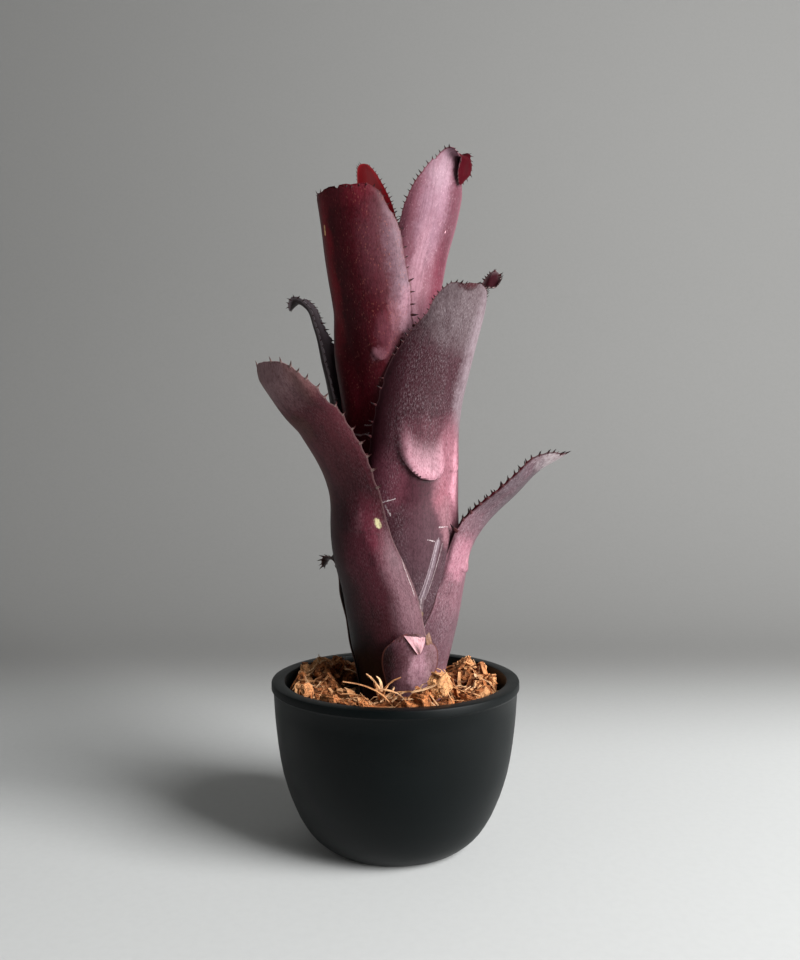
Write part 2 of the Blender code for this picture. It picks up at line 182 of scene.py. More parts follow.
def moulded_black():
    made, tree = new_finish("moulded_black", Specular_IOR_Level=0.12, Coat_Roughness=0.58)
    place = tree.place()
    haze = place.grain(0.030, 2.0).step(0.35, 0.75)
    dust = place.grain(0.0011, 4.0, 0.7).step(0.62, 0.80)
    skin = place.grain(0.00045, 2.0)
    blacks = {"stops": [(0, (0.0008, 0.0021, 0.0023)), (1, (0.00108, 0.00263, 0.0029))]}
    colour = tree.node("ValToRGB", blacks, {"Fac": haze})
    edgewise = tree.node("LayerWeight", None, {"Blend": 0.35}, 1)
    wire(made, Base_Color=colour.tint(dust * 0.05, (0.09, 0.085, 0.08)), Coat_Weight=edgewise * 0.38,
         Roughness=0.44 + 0.10 * haze + 0.10 * dust, Normal=skin.bump(0.0001, 0.5))
    return made


def only(piece):
    bpy.ops.object.select_all(action="DESELECT")
    piece.select_set(True)
    bpy.context.view_layer.objects.active = piece


def face_outwards(piece):
    only(piece)
    bpy.ops.object.mode_set(mode="EDIT")
    bpy.ops.mesh.select_all(action="SELECT")
    bpy.ops.mesh.normals_make_consistent(inside=False)
    bpy.ops.object.mode_set(mode="OBJECT")


def turned(name, profile, sides):
    """A body turned from (radius, height) rings: a disc is extruded and resized from each to the next. A
    third number sets a ring off to one side."""
    rings = [(*ring, 0)[:3] for ring in profile]
    radius, height, _ = rings[0]
    at = (0, 0, height)
    bpy.ops.object.select_all(action="DESELECT")
    bpy.ops.mesh.primitive_circle_add(vertices=sides, radius=radius, fill_type="NGON", location=at)
    body = bpy.context.object
    body.name = name
    bpy.ops.object.transform_apply()
    bpy.ops.object.mode_set(mode="EDIT")
    bpy.ops.mesh.select_all(action="SELECT")
    for (radius, height, aside), (next_radius, next_height, next_aside) in zip(rings, rings[1:]):
        move = {"value": (0, next_aside - aside, next_height - height)}
        bpy.ops.mesh.extrude_region_move(TRANSFORM_OT_translate=move)
        ratio = next_radius / radius
        bpy.ops.transform.resize(value=(ratio, ratio, 1), center_override=(0, next_aside, next_height))
    bpy.ops.object.mode_set(mode="OBJECT")
    face_outwards(body)
    return body


def smooth_below(piece, degrees):
    only(piece)
    bpy.ops.object.shade_smooth_by_angle(angle=math.radians(degrees))


def cut(piece, cutter):
    """Takes a solid out of a piece."""
    taken = piece.modifiers.new("cut", "BOOLEAN")
    taken.object = cutter
    only(piece)
    bpy.ops.object.modifier_apply(modifier=taken.name)
    bpy.data.objects.remove(cutter)


def inside_of(wall, clearance=0.0):
    """The pot's inner side as (radius, height) points, from its floor up to under the rim."""
    return [(min(POT_MOUTH, r - WALL_THICKNESS) - clearance, z) for r, z in wall if z > 1.4 * FLOOR_TOP]


def make_pot():
    inner, outer = DRAIN_CHANNEL
    step = CHANNEL_DEPTH
    bevel = 0.3 * RIM_EDGE
    rim = [
        (POT_MOUTH, POT_HEIGHT - RIM_EDGE), (POT_MOUTH + bevel, POT_HEIGHT - bevel),
        (POT_MOUTH + RIM_EDGE, POT_HEIGHT), (POT_RIM - RIM_EDGE, POT_HEIGHT),
        (POT_RIM - bevel, POT_HEIGHT - bevel), (POT_RIM, POT_HEIGHT - RIM_EDGE),
        (POT_RIM, RIM_FOOT), (POT_RIM - RIM_FOOT_BEVEL[0], RIM_FOOT - RIM_FOOT_BEVEL[1]),
    ]
    foot = [(outer + step, 0), (outer, step), (inner, step), (inner - step, 0)]
    floor = [(FLOOR_FLAT, FLOOR_TOP), (FLOOR_EDGE, FLOOR_TOP + FLOOR_FALL)]
    pot = turned("plastic_pot", floor + inside_of(WALL) + rim + WALL[::-1] + foot, POT_SIDES)
    for number in range(DRAIN_HOLES):
        angle = math.tau * number / DRAIN_HOLES
        reach = (inner + outer) / 2
        centre = (reach * math.cos(angle), reach * math.sin(angle), 0)
        bpy.ops.mesh.primitive_cylinder_add(
            vertices=DRAIN_HOLE_SIDES, radius=DRAIN_HOLE_RADIUS, depth=3 * FLOOR_TOP, location=centre)
        cut(pot, bpy.context.object)
    smooth_below(pot, 35)
    pot.data.materials.append(moulded_black())
    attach(pot, "root")
    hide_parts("pot")


make_pot()


# ---- Stem ----
# The short stock that carries every leaf, with its roots: pale, fibrous, and hidden by the leaves and
# the compost. Its solid already has its shape, so it only gets its finish.


def stem_flesh():
    made, tree = new_finish("stem_flesh", Roughness=0.7)
    fibres = tree.place().scaled((1, 1, 0.12)).grain(0.0008)
    colour = tree.colour((0.42, 0.33, 0.20)).tint(fibres.step(0.4, 0.7), (0.60, 0.50, 0.34))
    wire(made, Base_Color=colour, Normal=fibres.bump(0.0003))
    return made


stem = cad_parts["stem"]
stem.data.materials.clear()
stem.data.materials.append(stem_flesh())


# ---- Potting mix ----
# Damp compost of fine bark and coir, poured in round the plant and settled to a rough crust below the
# rim. It is one crumbly body, turned to the pot's inside with its top roughened.

MIX_TOP_AT_WALL = 0.0690
MIX_TOP_AT_PLANT = 0.0715
MIX_GAP = 0.0004
MIX_RINGS = 46
MIX_SIDES = 160
MIX_FOOT = 0.010
MIX_FLAT_EDGE = 0.003
MIX_LUMPS = 0.001
MIX_LUMP_SIZE = 0.0045


def damp_compost():
    made, tree = new_finish("damp_compost", Roughness=0.92)
    place = tree.place()
    lumps = place.grain(0.0030, 5.0, 0.65)
    crumbs = place.cells(0.0011)
    colour = tree.colour((0.016, 0.008, 0.005)).tint(lumps.step(0.42, 0.70), (0.070, 0.032, 0.015))
    wire(made, Base_Color=colour.tint(crumbs.step(0.5, 0.9) * 0.4, (0.12, 0.055, 0.022)),
         Normal=(lumps + 0.4 * crumbs).bump(0.0016))
    return made


def mix_top(radius):
    return MIX_TOP_AT_PLANT + (MIX_TOP_AT_WALL - MIX_TOP_AT_PLANT) * radius / POT_MOUTH


def make_mix():
    widest = POT_MOUTH - MIX_GAP
    radii = [widest * (step + 1) / MIX_RINGS for step in range(MIX_RINGS)]
    top = [(radius, mix_top(radius)) for radius in radii]
    side = [point for point in inside_of(WALL, MIX_GAP)[::-1] if point[1] < MIX_TOP_AT_WALL - 0.002]
    foot = [(FLOOR_EDGE, FLOOR_TOP + 2 * MIX_GAP), (MIX_FOOT, FLOOR_TOP + 2 * MIX_GAP)]
    mix = turned("compost", top + side + foot, MIX_SIDES)
    for vertex in mix.data.vertices:
        if vertex.co.z > MIX_TOP_AT_WALL - MIX_GAP:
            inwards = min(1, (POT_MOUTH - vertex.co.xy.length) / MIX_FLAT_EDGE)
            lump = noise.fractal(vertex.co / MIX_LUMP_SIZE, 0.9, 2.1, 5) - 0.3
            vertex.co.z += inwards * MIX_LUMPS * lump
    smooth_below(mix, 80)
    mix.data.materials.append(damp_compost())
    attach(mix, "root")
    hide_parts("potting_mix")


make_mix()


# ---- Leaves ----
# Each leaf grew as one piece: a stiff, leathery strap whose foot is a layer of the tube. Silver scales lie
# on its outer face, and hooked spines stand along its edges. The numbers in each leaf's own section are in
# millimetres and degrees.

TUBE_HEIGHTS = metres((50, 78, 87, 95, 108, 123, 141, 160, 190, 260))
TUBE_RADII = metres((22.2, 25, 26.7, 28.9, 31.3, 33.8, 37.2, 37.8, 37.8, 37.8))
TUBE_CENTRES = metres((4.2, 4.2, 4.2, 4.2, 4.2, 4.2, 3, 2.5, 2.2, 2.2))
LAYER_PITCH = 0.002
LOWEST_LEAF_BASE = 0.055
LEAF_BASE_STEP = 0.003
SHEATH_BLEND = 0.02
LEAF_ROWS = 260
LEAF_COLUMNS = 56
LEAF_THICKNESS = 0.001
EDGE_THICKNESS = 0.35
EDGE_WIDTH = 0.004
FOLD_DROOP = 0.45
TEAR_WIDTH = 0.0016
TEAR_DEPTH = 0.01
RIPPLE = 0.00035
RIPPLE_SIZE = 0.016
RIPPLE_HEIGHTS = (0.070, 0.110)
SCALLOP = 0.0005
SCALLOP_WIDTH = 0.0022
SCALLOP_COLUMNS = 8
SCALLOP_PITCH = 0.004
HUG_WIDTH = 0.013
TIP_CLOSES = 0.995
SILVER = (0.60, 0.53, 0.57)
MARGIN = ((0.30, 0.20, 0.18), 0.8, 0.5)
SPINE_COLOURS = ((0.012, 0.005, 0.006), (0.070, 0.018, 0.020))
SPINE_SIDES = 6
SPINE_RINGS = [(0.55, -0.25, 0), (0.36, 0.26, 0.01), (0.22, 0.56, 0.05), (0.11, 0.82, 0.13), (0.02, 1, 0.24)]
SPINE_FORM = np.array([0.44, 0.58, 1.25])
SPINE_SIZES = (0.75, 1.2)
SPINE_GAPS = (0.8, 1.2)


def curve_through(knots, values, at):
    """Values at the given places of a smooth curve through the values at the knots."""
    knots, values, at = (np.asarray(numbers, float) for numbers in (knots, values, at))
    slopes = np.gradient(values, knots, axis=0)
    low = np.clip(np.searchsorted(knots, at) - 1, 0, len(knots) - 2)
    step = knots[low + 1] - knots[low]
    part = np.clip((at - knots[low]) / step, 0, 1)
    if values.ndim > 1:
        step, part = step[:, None], part[:, None]
    rise = values[low + 1] - values[low]
    start = slopes[low] * step - rise
    end = rise - slopes[low + 1] * step
    return values[low] + part * rise + part * (1 - part) * ((1 - part) * start + part * end)


def smooth_step(low, high, value):
    part = np.clip((value - low) / (high - low), 0, 1)
    return part * part * (3 - 2 * part)


def tube_radius(height, layer):
    return curve_through(TUBE_HEIGHTS, TUBE_RADII, height) - layer * LAYER_PITCH


def sheath_heights(leaf):
    return [metres(height) for height, _ in leaf["sheath"]]


def leaf_stations(leaf):
    """Reach, height, bend radius, half fold and drift from the leaf's base to its tip."""
    base = LOWEST_LEAF_BASE + leaf["layer"] * LEAF_BASE_STEP
    stations = []
    wraps = [wrap for _, wrap in leaf["sheath"]]
    for height, wrap in zip([base, *sheath_heights(leaf)], [wraps[0], *wraps]):
        radius = float(tube_radius([height], leaf["layer"])[0])
        stations.append((radius, height, radius, math.radians(wrap), 0))
    for reach, height, half_width, fold, *drift in leaf["blade"]:
        reach, height, half_width, drift = metres((reach, height, half_width, drift[0] if drift else 0))
        fold = math.radians(fold)
        stations.append((reach, height, half_width / fold, fold, drift))
    return np.array(stations)


def unit(vectors):
    return vectors / np.linalg.norm(vectors, axis=-1, keepdims=True)


def leaf_surface(leaf):
    """The leaf's middle surface by row and column: points, outward directions, and places on the leaf."""
    stations = leaf_stations(leaf)
    top_of_sheath = sheath_heights(leaf)[-1]
    steps = np.linalg.norm(np.diff(stations[:, :2], axis=0), axis=1)
    knots = np.concatenate([[0], np.cumsum(steps)])
    length = knots[-1] - metres(leaf.get("shorter", 0))
    at = curve_through(np.linspace(0, 1, len(knots)), knots, np.linspace(0, 1, LEAF_ROWS + 1))
    at = at * length / knots[-1]
    reach, height, bend, fold, drift = curve_through(knots, stations, at).T
    in_sheath = (height < top_of_sheath) & (at < knots[len(leaf["sheath"])] + 1e-6)
    reach = np.where(in_sheath, tube_radius(height, leaf["layer"]), reach)
    bend = np.where(in_sheath, reach, bend)
    blunt = leaf.get("blunt", 2)
    sides = []
    for tip in metres(leaf["tip"]):
        close = np.clip((at - length + tip) / tip, 0, TIP_CLOSES)
        sides.append(fold * (1 - close ** blunt) ** (1 / blunt))

    azimuth = math.radians(leaf["azimuth"])
    out = np.array([math.sin(azimuth), -math.cos(azimuth), 0.0])
    side = np.array([math.cos(azimuth), math.sin(azimuth), 0.0])
    up = np.array([0.0, 0.0, 1.0])
    midrib = reach[:, None] * out + drift[:, None] * side + height[:, None] * up
    midrib[:, 0] += curve_through(TUBE_HEIGHTS, TUBE_CENTRES, np.minimum(height, top_of_sheath))
    ahead = np.gradient(midrib, at, axis=0)
    lean = np.maximum.accumulate(smooth_step(0, SHEATH_BLEND, height - top_of_sheath))
    ahead = unit(up + (ahead - up) * lean[:, None])
    level = unit(side - (ahead @ side)[:, None] * ahead)
    outward = np.cross(level, ahead)
    turn = np.linspace(-sides[0], sides[1], LEAF_COLUMNS + 1, axis=1)
    sideways = (bend[:, None] * np.sin(turn))[:, :, None]
    inwards = (bend[:, None] * (1 - np.cos(turn)))[:, :, None]
    points = midrib[:, None, :] + sideways * level[:, None, :] - inwards * outward[:, None, :]
    facing = np.sin(turn)[:, :, None] * level[:, None, :] + np.cos(turn)[:, :, None] * outward[:, None, :]
    across = bend[:, None] * turn
    along = np.repeat(at[:, None], LEAF_COLUMNS + 1, axis=1)
    return points, facing, across, along


def fold_lift(fold, across, along):
    """How far a hanging fold of the skin stands out: sharply above its lower edge, then fading upwards."""
    centre, edge, left, right, reach, lift, sag = fold
    offset = np.clip(np.maximum((centre - across) / left, (across - centre) / right), 0, 1)
    sag = sag * np.where(across < centre, 1, right / left)
    above = (along - edge - sag * offset ** 2.5) / reach
    profile = smooth_step(0, 0.07, above) * (1 - smooth_step(0.05, 1, above))
    return lift * profile * (1 - offset ** 4)


def near(centre, reach, across, along):
    """1 at a place on the leaf, fading smoothly to 0 at an ellipse round it."""
    offset = ((across - centre[0]) / reach[0]) ** 2 + ((along - centre[1]) / reach[1]) ** 2
    return 1 - smooth_step(0, 1, offset)


def points_of(mesh):
    return np.array([tuple(vertex.co) for vertex in mesh.vertices])


def mesh_piece(name, points, faces):
    mesh = bpy.data.meshes.new(name)
    mesh.from_pydata(points, [], faces)
    piece = bpy.data.objects.new(name, mesh)
    bpy.context.scene.collection.objects.link(piece)
    return piece


def carry(piece, name, vectors):
    """Gives each of a piece's points a vector that its material reads."""
    made = piece.data.attributes.new(name, "FLOAT_VECTOR", "POINT")
    made.data.foreach_set("vector", np.ravel(vectors))


spine = turned("spine", SPINE_RINGS, SPINE_SIDES)
SPINE_POINTS = points_of(spine.data)
SPINE_FACES = [tuple(face.vertices) for face in spine.data.polygons]
bpy.data.objects.remove(spine)


def margin_places(edge, along, run, chance):
    """How far along an edge its spines stand, with the size of each, from (start, end, pitches, sizes)."""
    start, end, (pitch, tip_pitch), (size, tip_size), *_ = run
    walked = np.concatenate([[0], np.cumsum(np.linalg.norm(np.diff(edge, axis=0), axis=1))])
    first, last = np.interp((start, end), along, walked)
    places = []
    at = first
    while at < last:
        share = (at - first) / (last - first)
        places.append((at, (size + (tip_size - size) * share) * chance.uniform(*SPINE_SIZES)))
        at += (pitch + (tip_pitch - pitch) * share) * chance.uniform(*SPINE_GAPS)
    return walked, places


def scallop(points, column, walked, places, depth):
    """Draws an edge in between its spines, and the leaf beside it less. Below 0 it swells into lobes."""
    stands = np.array([at for at, _ in places])
    gap = np.clip(np.searchsorted(stands, walked) - 1, 0, len(stands) - 2)
    pitch = stands[gap + 1] - stands[gap]
    share = np.clip((walked - stands[gap]) / pitch, 0, 1)
    depth = depth * np.sin(math.pi * share) ** 0.7 * np.minimum(1, pitch / SCALLOP_PITCH)
    neighbour = 1 if column == 0 else column - 1
    inwards = unit(points[:, neighbour] - points[:, column])
    for step in range(SCALLOP_COLUMNS):
        beside = column + step if column == 0 else column - step
        away = np.linalg.norm(points[:, beside] - points[:, column], axis=1)
        points[:, beside] += (depth * np.exp(-away / SCALLOP_WIDTH))[:, None] * inwards


def grow_spines(name, points, facing, edges, flare):
    """All the spines of a leaf in one mesh, each rooted in an edge, flared out and hooked to the tip."""
    vertices, faces, shares = [], [], []
    for column, walked, places in edges:
        edge = points[:, column]
        neighbour = 1 if column == 0 else column - 1
        for at, size in places:
            row = min(max(int(np.searchsorted(walked, at)), 1), len(edge) - 2)
            forward = unit(edge[row + 1] - edge[row - 1])
            beside = edge[row] - points[row, neighbour]
            beside = unit(beside - (beside @ forward) * forward) + flare * facing[row, column]
            beside = unit(beside - (beside @ forward) * forward)
            axes = np.array([np.cross(forward, beside), forward, beside])
            placed = edge[row] + SPINE_POINTS * SPINE_FORM * size @ axes
            start = len(vertices)
            vertices += placed.tolist()
            faces += [tuple(start + corner for corner in face) for face in SPINE_FACES]
            shares += [(0, 0, max(0, point[2])) for point in SPINE_POINTS]
    spines = mesh_piece(name + "_spines", vertices, faces)
    carry(spines, "leaf", shares)
    face_outwards(spines)
    return spines


def lip(across, along, fold):
    """1 on a hanging fold, with a sharp lower edge, fading out above it."""
    centre, edge, left, right, reach, _, sag = metres(fold)
    aside = across.sum("MAXIMUM", (centre - across) * (1 / left), (across - centre) * (1 / right))
    rise = aside.sum("POWER", aside, 2.5) * sag
    rise = rise - rise * (across - centre).step(0, 0.0001) * (1 - right / left)
    above = along - edge - rise
    return above.step(0, 0.0006) * (1 - above.step(0.15 * reach, reach)) * (1 - aside.step(0.55, 0.95))


def patch(across, along, middle, reach):
    """1 at a place on the leaf, fading out to an ellipse round it."""
    middle, reach = metres((middle, reach))
    aside = (across - middle[0]) * (1 / reach[0])
    beyond = (along - middle[1]) * (1 / reach[1])
    return 1 - (aside * aside + beyond * beyond).step(0, 1)


def stroke(across, along, start, end, width):
    """A line from one (across, along) place on the leaf to another, fading at its sides."""
    start, end, width = metres((start, end, width))
    run = Vector(end) - Vector(start)
    rate = run / run.length_squared
    share = ((across - start[0]) * rate.x + (along - start[1]) * rate.y).clipped()
    aside = across - (start[0] + share * run.x)
    beyond = along - (start[1] + share * run.y)
    return 1 - (aside * aside + beyond * beyond).step(0.04 * width ** 2, width ** 2)


def leaf_skin(name, shade, look):
    """The scaly outer face: its ground colour, soft patches, streaks, silver scales, flecks and marks. Some
    patches and marks are painted highlights, sheen and shade.
    """
    made, tree = new_finish(name, Specular_IOR_Level=0.16)
    own = tree.own("leaf")
    across, along, edge = own.parts()
    shift = (len(name) * 0.37, sum(map(ord, name)) % 97 * 0.11, 0)
    own = own.scaled((1, 1, 0), shift)
    colour = tree.colour(shade)
    wander = own.grain(0.012, 3.0) - 0.5
    wobble = own.grain(0.0016, 3.0) - 0.5
    moved_across = across + wander * 0.008 + wobble * 0.004
    moved_along = along + wander * 0.014 + wobble * 0.006
    # Soft patches of colour; on several leaves some of them are painted highlights, sheen and shade.
    for tone, middle, reach, share in look.get("patches", []):
        colour = colour.tint(patch(moved_across, moved_along, middle, reach) * share, tone)
    for tone, fold in look.get("lips", []):
        colour = colour.tint(lip(across + wander * 0.003, along + wander * 0.003, fold), tone)
    blotch = own.scaled((1, 0.45, 1)).grain(0.0065, 4.0, 0.6)
    colour = colour.tint(blotch.step(0.48, 0.72) * look.get("blotches", 0.35), look.get("blotch", shade))
    mottle = own.scaled((1, 0.55, 1)).grain(0.0017, 3.0, 0.65)
    colour = colour.tint(mottle.step(0.55, 0.36) * look.get("mottle", 0.45), (0.50, 0.36, 0.40), "MULTIPLY")
    streak = own.scaled((1, 0.035, 1)).grain(0.0011, 2.0, 0.6)
    colour = colour.tint(streak.step(0.48, 0.75) * 0.35, (0.35, 0.28, 0.30), "MULTIPLY")
    dust = own.scaled((1, 0.28, 1)).grain(0.00040, 2.0, 0.75)
    drift = own.scaled((1, 0.30, 1)).grain(0.0050, 3.0, 0.6)
    scales = dust.step(0.49, 0.64) * (0.35 + 0.65 * drift.step(0.36, 0.62))
    # Places left without scales; some of them keep painted shade dark.
    for middle, reach in look.get("bare", []):
        scales = scales * (1 - patch(moved_across, moved_along, middle, reach))
    colour = colour.tint(scales * look.get("scales", 0.12), SILVER)
    colour = colour.tint(dust.step(0.50, 0.34) * look.get("pores", 0.45), (0.25, 0.15, 0.18), "MULTIPLY")
    if "flecks" in look:
        dash = own.scaled((1, 0.45, 1)).cells(0.00085)
        sparse = own.grain(0.0045, 3.0).step(0.40, 0.60)
        share = (1 - dash.step(0.12, 0.34)) * sparse * look["flecks"]
        colour = colour.tint(share, look.get("fleck", (0.31, 0.105, 0.078)))
    jitter = own.grain(0.0010) - 0.5
    worn = own.scaled((1, 0.4, 1)).grain(0.0018, 3.0, 0.7).step(0.22, 0.58)
    # Marks, a few of them painted highlights.
    for tone, start, end, width in look.get("marks", []):
        line = stroke(across + jitter * 0.0012, along + jitter * 0.0016, start, end, width)
        colour = colour.tint(line * worn, tone)
    tone, width, share = look.get("margin", MARGIN)
    width = metres(width)
    colour = colour.tint((1 - edge.step(0.3 * width, width)) * share, tone)
    wire(made, Base_Color=colour, Roughness=look.get("gloss", 0.40) + 0.22 * scales + 0.08 * blotch,
         Normal=(0.55 * streak + 0.45 * dust).bump(0.00022, 0.55))
    return made


def leaf_lining(name, shade, rim_colour_and_painted_glow):
    """The smoother inner face, darker and redder, with fine lengthwise veins. A band along its edges takes
    the rim colour: by default a brighter red, which is painted light glowing through the thin edge; a leaf
    that gives its own rim colour gets its margin's own tone.
    """
    made, tree = new_finish(name, Roughness=0.60, Specular_IOR_Level=0.05)
    rim = 1 - tree.own("leaf").parts()[2].step(0, 0.0030)
    own = tree.own("leaf").scaled((1, 1, 0))
    veins = own.scaled((1, 0.03, 1)).grain(0.0010, 2.0)
    dust = own.scaled((1, 0.4, 1)).grain(0.0006, 2.0, 0.7)
    colour = tree.colour(shade).tint(veins.step(0.45, 0.75) * 0.35, tuple(0.55 * part for part in shade))
    # The edge band: with the default rim colour it is painted light glowing through the thin edge.
    colour = colour.tint(rim * 0.6, rim_colour_and_painted_glow).tint(dust.step(0.55, 0.75) * 0.008, SILVER)
    wire(made, Base_Color=colour, Normal=veins.bump(0.00015, 0.5))
    return made


def spine_horn(name, tip, base):
    """Hard brown-black spines, paler where they leave the edge."""
    made, tree = new_finish(name, Roughness=0.45, Specular_IOR_Level=0.2)
    share = tree.own("leaf").parts()[2]
    wire(made, Base_Color=tree.colour(base).tint(share.step(0.05, 0.55), tip))
    return made


def join(piece, *others):
    only(piece)
    for other in others:
        other.select_set(True)
    bpy.ops.object.join()


def shaped_leaf(name, leaf):
    """The leaf's surface with its hanging folds, its hugging edges, its ripples and its scallops."""
    points, facing, across, along = leaf_surface(leaf)
    edge = np.minimum(across - across[:, :1], across[:, -1:] - across)
    for fold in metres(leaf.get("folds", [])):
        lift = fold_lift(fold, across, along)
        points += lift[:, :, None] * facing
        points[:, :, 2] -= FOLD_DROOP * lift
    for middle, reach, move in metres(leaf.get("moves", [])):
        points += near(middle, reach, across, along)[:, :, None] * np.array(move)
    if "hug" in leaf:
        heights, depths = zip(*metres(leaf["hug"]))
        depth = np.interp(points[:, :, 2], heights, depths) * (1 - smooth_step(0, HUG_WIDTH, edge))
        points -= depth[:, :, None] * facing
    ripple = np.array([noise.noise(Vector(point) / RIPPLE_SIZE) for point in points.reshape(-1, 3)])
    ripple = RIPPLE * ripple.reshape(across.shape) * smooth_step(*RIPPLE_HEIGHTS, points[:, :, 2])
    points += ripple[:, :, None] * facing
    if "ragged" in leaf:
        tear = np.array([abs(noise.noise(Vector((place / TEAR_WIDTH, 3.1, 0)))) for place in across[-20]])
        tip = smooth_step(along[-1, 0] - TEAR_DEPTH, along[-1, 0], along)
        points[:, :, 2] -= metres(leaf["ragged"]) * tear * tip
    chance = random.Random(name)
    edges = []
    for column, key in ((0, "left_spines"), (LEAF_COLUMNS, "right_spines")):
        for run in metres(leaf.get(key, leaf.get("both_spines", []))):
            walked, places = margin_places(points[:, column], along[:, 0], run, chance)
            scallop(points, column, walked, places, run[4] if len(run) > 4 else SCALLOP)
            edges.append((column, walked, places))
    return points, facing, across, along, edge, edges


def leaf_body(name, points, across, along, edge, materials):
    """The surface laid on a grid and given its wall, which thins towards every edge."""
    bpy.ops.object.select_all(action="DESELECT")
    bpy.ops.mesh.primitive_grid_add(x_subdivisions=LEAF_COLUMNS, y_subdivisions=LEAF_ROWS, size=1)
    sheet = bpy.context.object
    sheet.name = name
    sheet.data.vertices.foreach_set("co", points.ravel())
    carry(sheet, "leaf", np.stack([across, along, edge], axis=-1))
    for material in materials:
        sheet.data.materials.append(material)
    body = sheet.vertex_groups.new(name="body")
    weights = smooth_step(0, EDGE_WIDTH, edge) * smooth_step(0, EDGE_WIDTH, along[-1:, :] - along)
    for index, weight in enumerate(weights.ravel()):
        body.add([index], float(weight), "REPLACE")
    wall = sheet.modifiers.new("thickness", "SOLIDIFY")
    wall.thickness = LEAF_THICKNESS
    wall.offset = 0
    wall.vertex_group = body.name
    wall.thickness_vertex_group = EDGE_THICKNESS
    wall.material_offset = 1
    bpy.ops.object.modifier_apply(modifier=wall.name)
    sheet.vertex_groups.clear()
    return sheet


def make_leaf(name, leaf, look, extras=()):
    """One leaf. A place on it is (across, along) from its base. Its rows are, for the sheath (height, half
    wrap), blade (reach, height, half width, half fold, drift), hug (height, depth), folds and lips (centre,
    lower edge, left, right, reach, lift, sag), moves (middle, reach, shift), spines (start, end, pitches,
    sizes, scallop), patches (colour, middle, reach, share) and marks (colour, start, end, width)."""
    points, facing, across, along, edge, edges = shaped_leaf(name, leaf)
    # Unless a leaf gives its own rim colour, its lining gets a brighter red edge band: painted light glowing
    # through the thin edge.
    rim_colour_and_painted_glow = look.get("rim", tuple(2.4 * part for part in look["lining"]))
    lining = leaf_lining(name + "_lining", look["lining"], rim_colour_and_painted_glow)
    skins = [leaf_skin(name + "_skin", look["shade"], look), lining]
    sheet = leaf_body(name, points, across, along, edge, skins)
    if edges:
        spines = grow_spines(name, points, facing, edges, leaf.get("flare", 0.2))
        spines.data.materials.append(spine_horn(name + "_spines", *look.get("spines", SPINE_COLOURS)))
        extras = (*extras, spines)
    join(sheet, *extras)
    smooth_below(sheet, 50)
    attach(sheet, "root")
    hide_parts(name)


# ---- Basal scale ----
# The oldest leaf, left as a short papery scale at the foot of the tube. Its top has dried and torn: one
# pink corner is folded down over the front, and a tan shred stands beside it.

FLAP_CELLS = 8
FLAP_CRUMPLE = 0.5
CRUMPLE_SIZE = 2.3
CRUMPLE_SPREAD = 900
SHRED_WIDTH = 0.006


def shred(name, out, corners, bulge, wall, shade, **look):
    """A torn flap: a sheet between four corners, bulged outwards, with a thin wall."""
    corners, bulge, wall = metres((corners, bulge, wall))
    bpy.ops.object.select_all(action="DESELECT")
    bpy.ops.mesh.primitive_grid_add(x_subdivisions=FLAP_CELLS, y_subdivisions=FLAP_CELLS, size=2)
    flap = bpy.context.object
    flap.name = name
    corners = [Vector(corner) for corner in corners]
    out = Vector(out).normalized()
    places = []
    for vertex in flap.data.vertices:
        u, v = (vertex.co.x + 1) / 2, (vertex.co.y + 1) / 2
        low = corners[0].lerp(corners[1], u)
        high = corners[2].lerp(corners[3], u)
        crumple = noise.noise(Vector((u * CRUMPLE_SIZE, v * CRUMPLE_SIZE, corners[0].x * CRUMPLE_SPREAD)))
        vertex.co = low.lerp(high, v) + out * bulge * (math.sin(math.pi * v) + FLAP_CRUMPLE * crumple)
        places.append((u * SHRED_WIDTH, v * SHRED_WIDTH, SHRED_WIDTH / 2))
    carry(flap, "leaf", places)
    flap.data.materials.append(leaf_skin(name.split("_")[1] + "_skin", shade, look))
    flap.modifiers.new("wall", "SOLIDIFY").thickness = wall
    bpy.ops.object.modifier_apply(modifier="wall")
    return flap


make_leaf("basal_scale", dict(
    azimuth=6, layer=0, tip=(20, 20), blunt=2.4, ragged=3, sheath=[(78, 24), (94, 28)],
    blade=[(30.6, 100, 14.6, 27), (31.2, 104.5, 14, 26), (31, 107.5, 13, 25)],
), dict(
    shade=(0.2, 0.095, 0.118), lining=(0.1, 0.03, 0.03), scales=0.08, blotch=(0.12, 0.04, 0.056),
    patches=[
        # Painted shade: the dark pocket on the left of the scale.
        ((0.01, 0.0018, 0.0034), (-12.5, 34), (10, 30), 0.95),
        ((0.08, 0.024, 0.034), (-5.5, 42), (6, 12), 0.7),
        # Painted highlight on the middle of the scale.
        ((0.6, 0.35, 0.42), (4, 36), (6, 13), 0.85),
        ((0.23, 0.14, 0.145), (10, 36), (5, 20), 0.5),
        ((0.05, 0.014, 0.013), (-3, 54), (16, 5), 0.9),
    ],
    margin=((0.11, 0.035, 0.026), 1, 0.8),
), extras=[
    shred(
        "pink_flap", out=(0.2, -1, 0), bulge=1.6, wall=0.5,
        corners=[(10.4, -31, 97.8), (11.8, -30.8, 98.4), (4, -31.7, 106.6), (13.8, -30.2, 105.6)],
        shade=(0.66, 0.38, 0.41), scales=0.25, blotch=(0.62, 0.3, 0.34), blotches=0.6,
        margin=((0.2, 0.06, 0.05), 0.6, 0),
    ),
    shred(
        "tan_shred", out=(0.4, -1, 0), bulge=0.6, wall=0.4,
        corners=[(14.2, -30, 102), (17.2, -28.4, 101.6), (14, -30, 106.2), (15.6, -29, 107.8)],
        shade=(0.22, 0.115, 0.07), scales=0.2, blotch=(0.1, 0.04, 0.03), blotches=0.8,
    ),
])


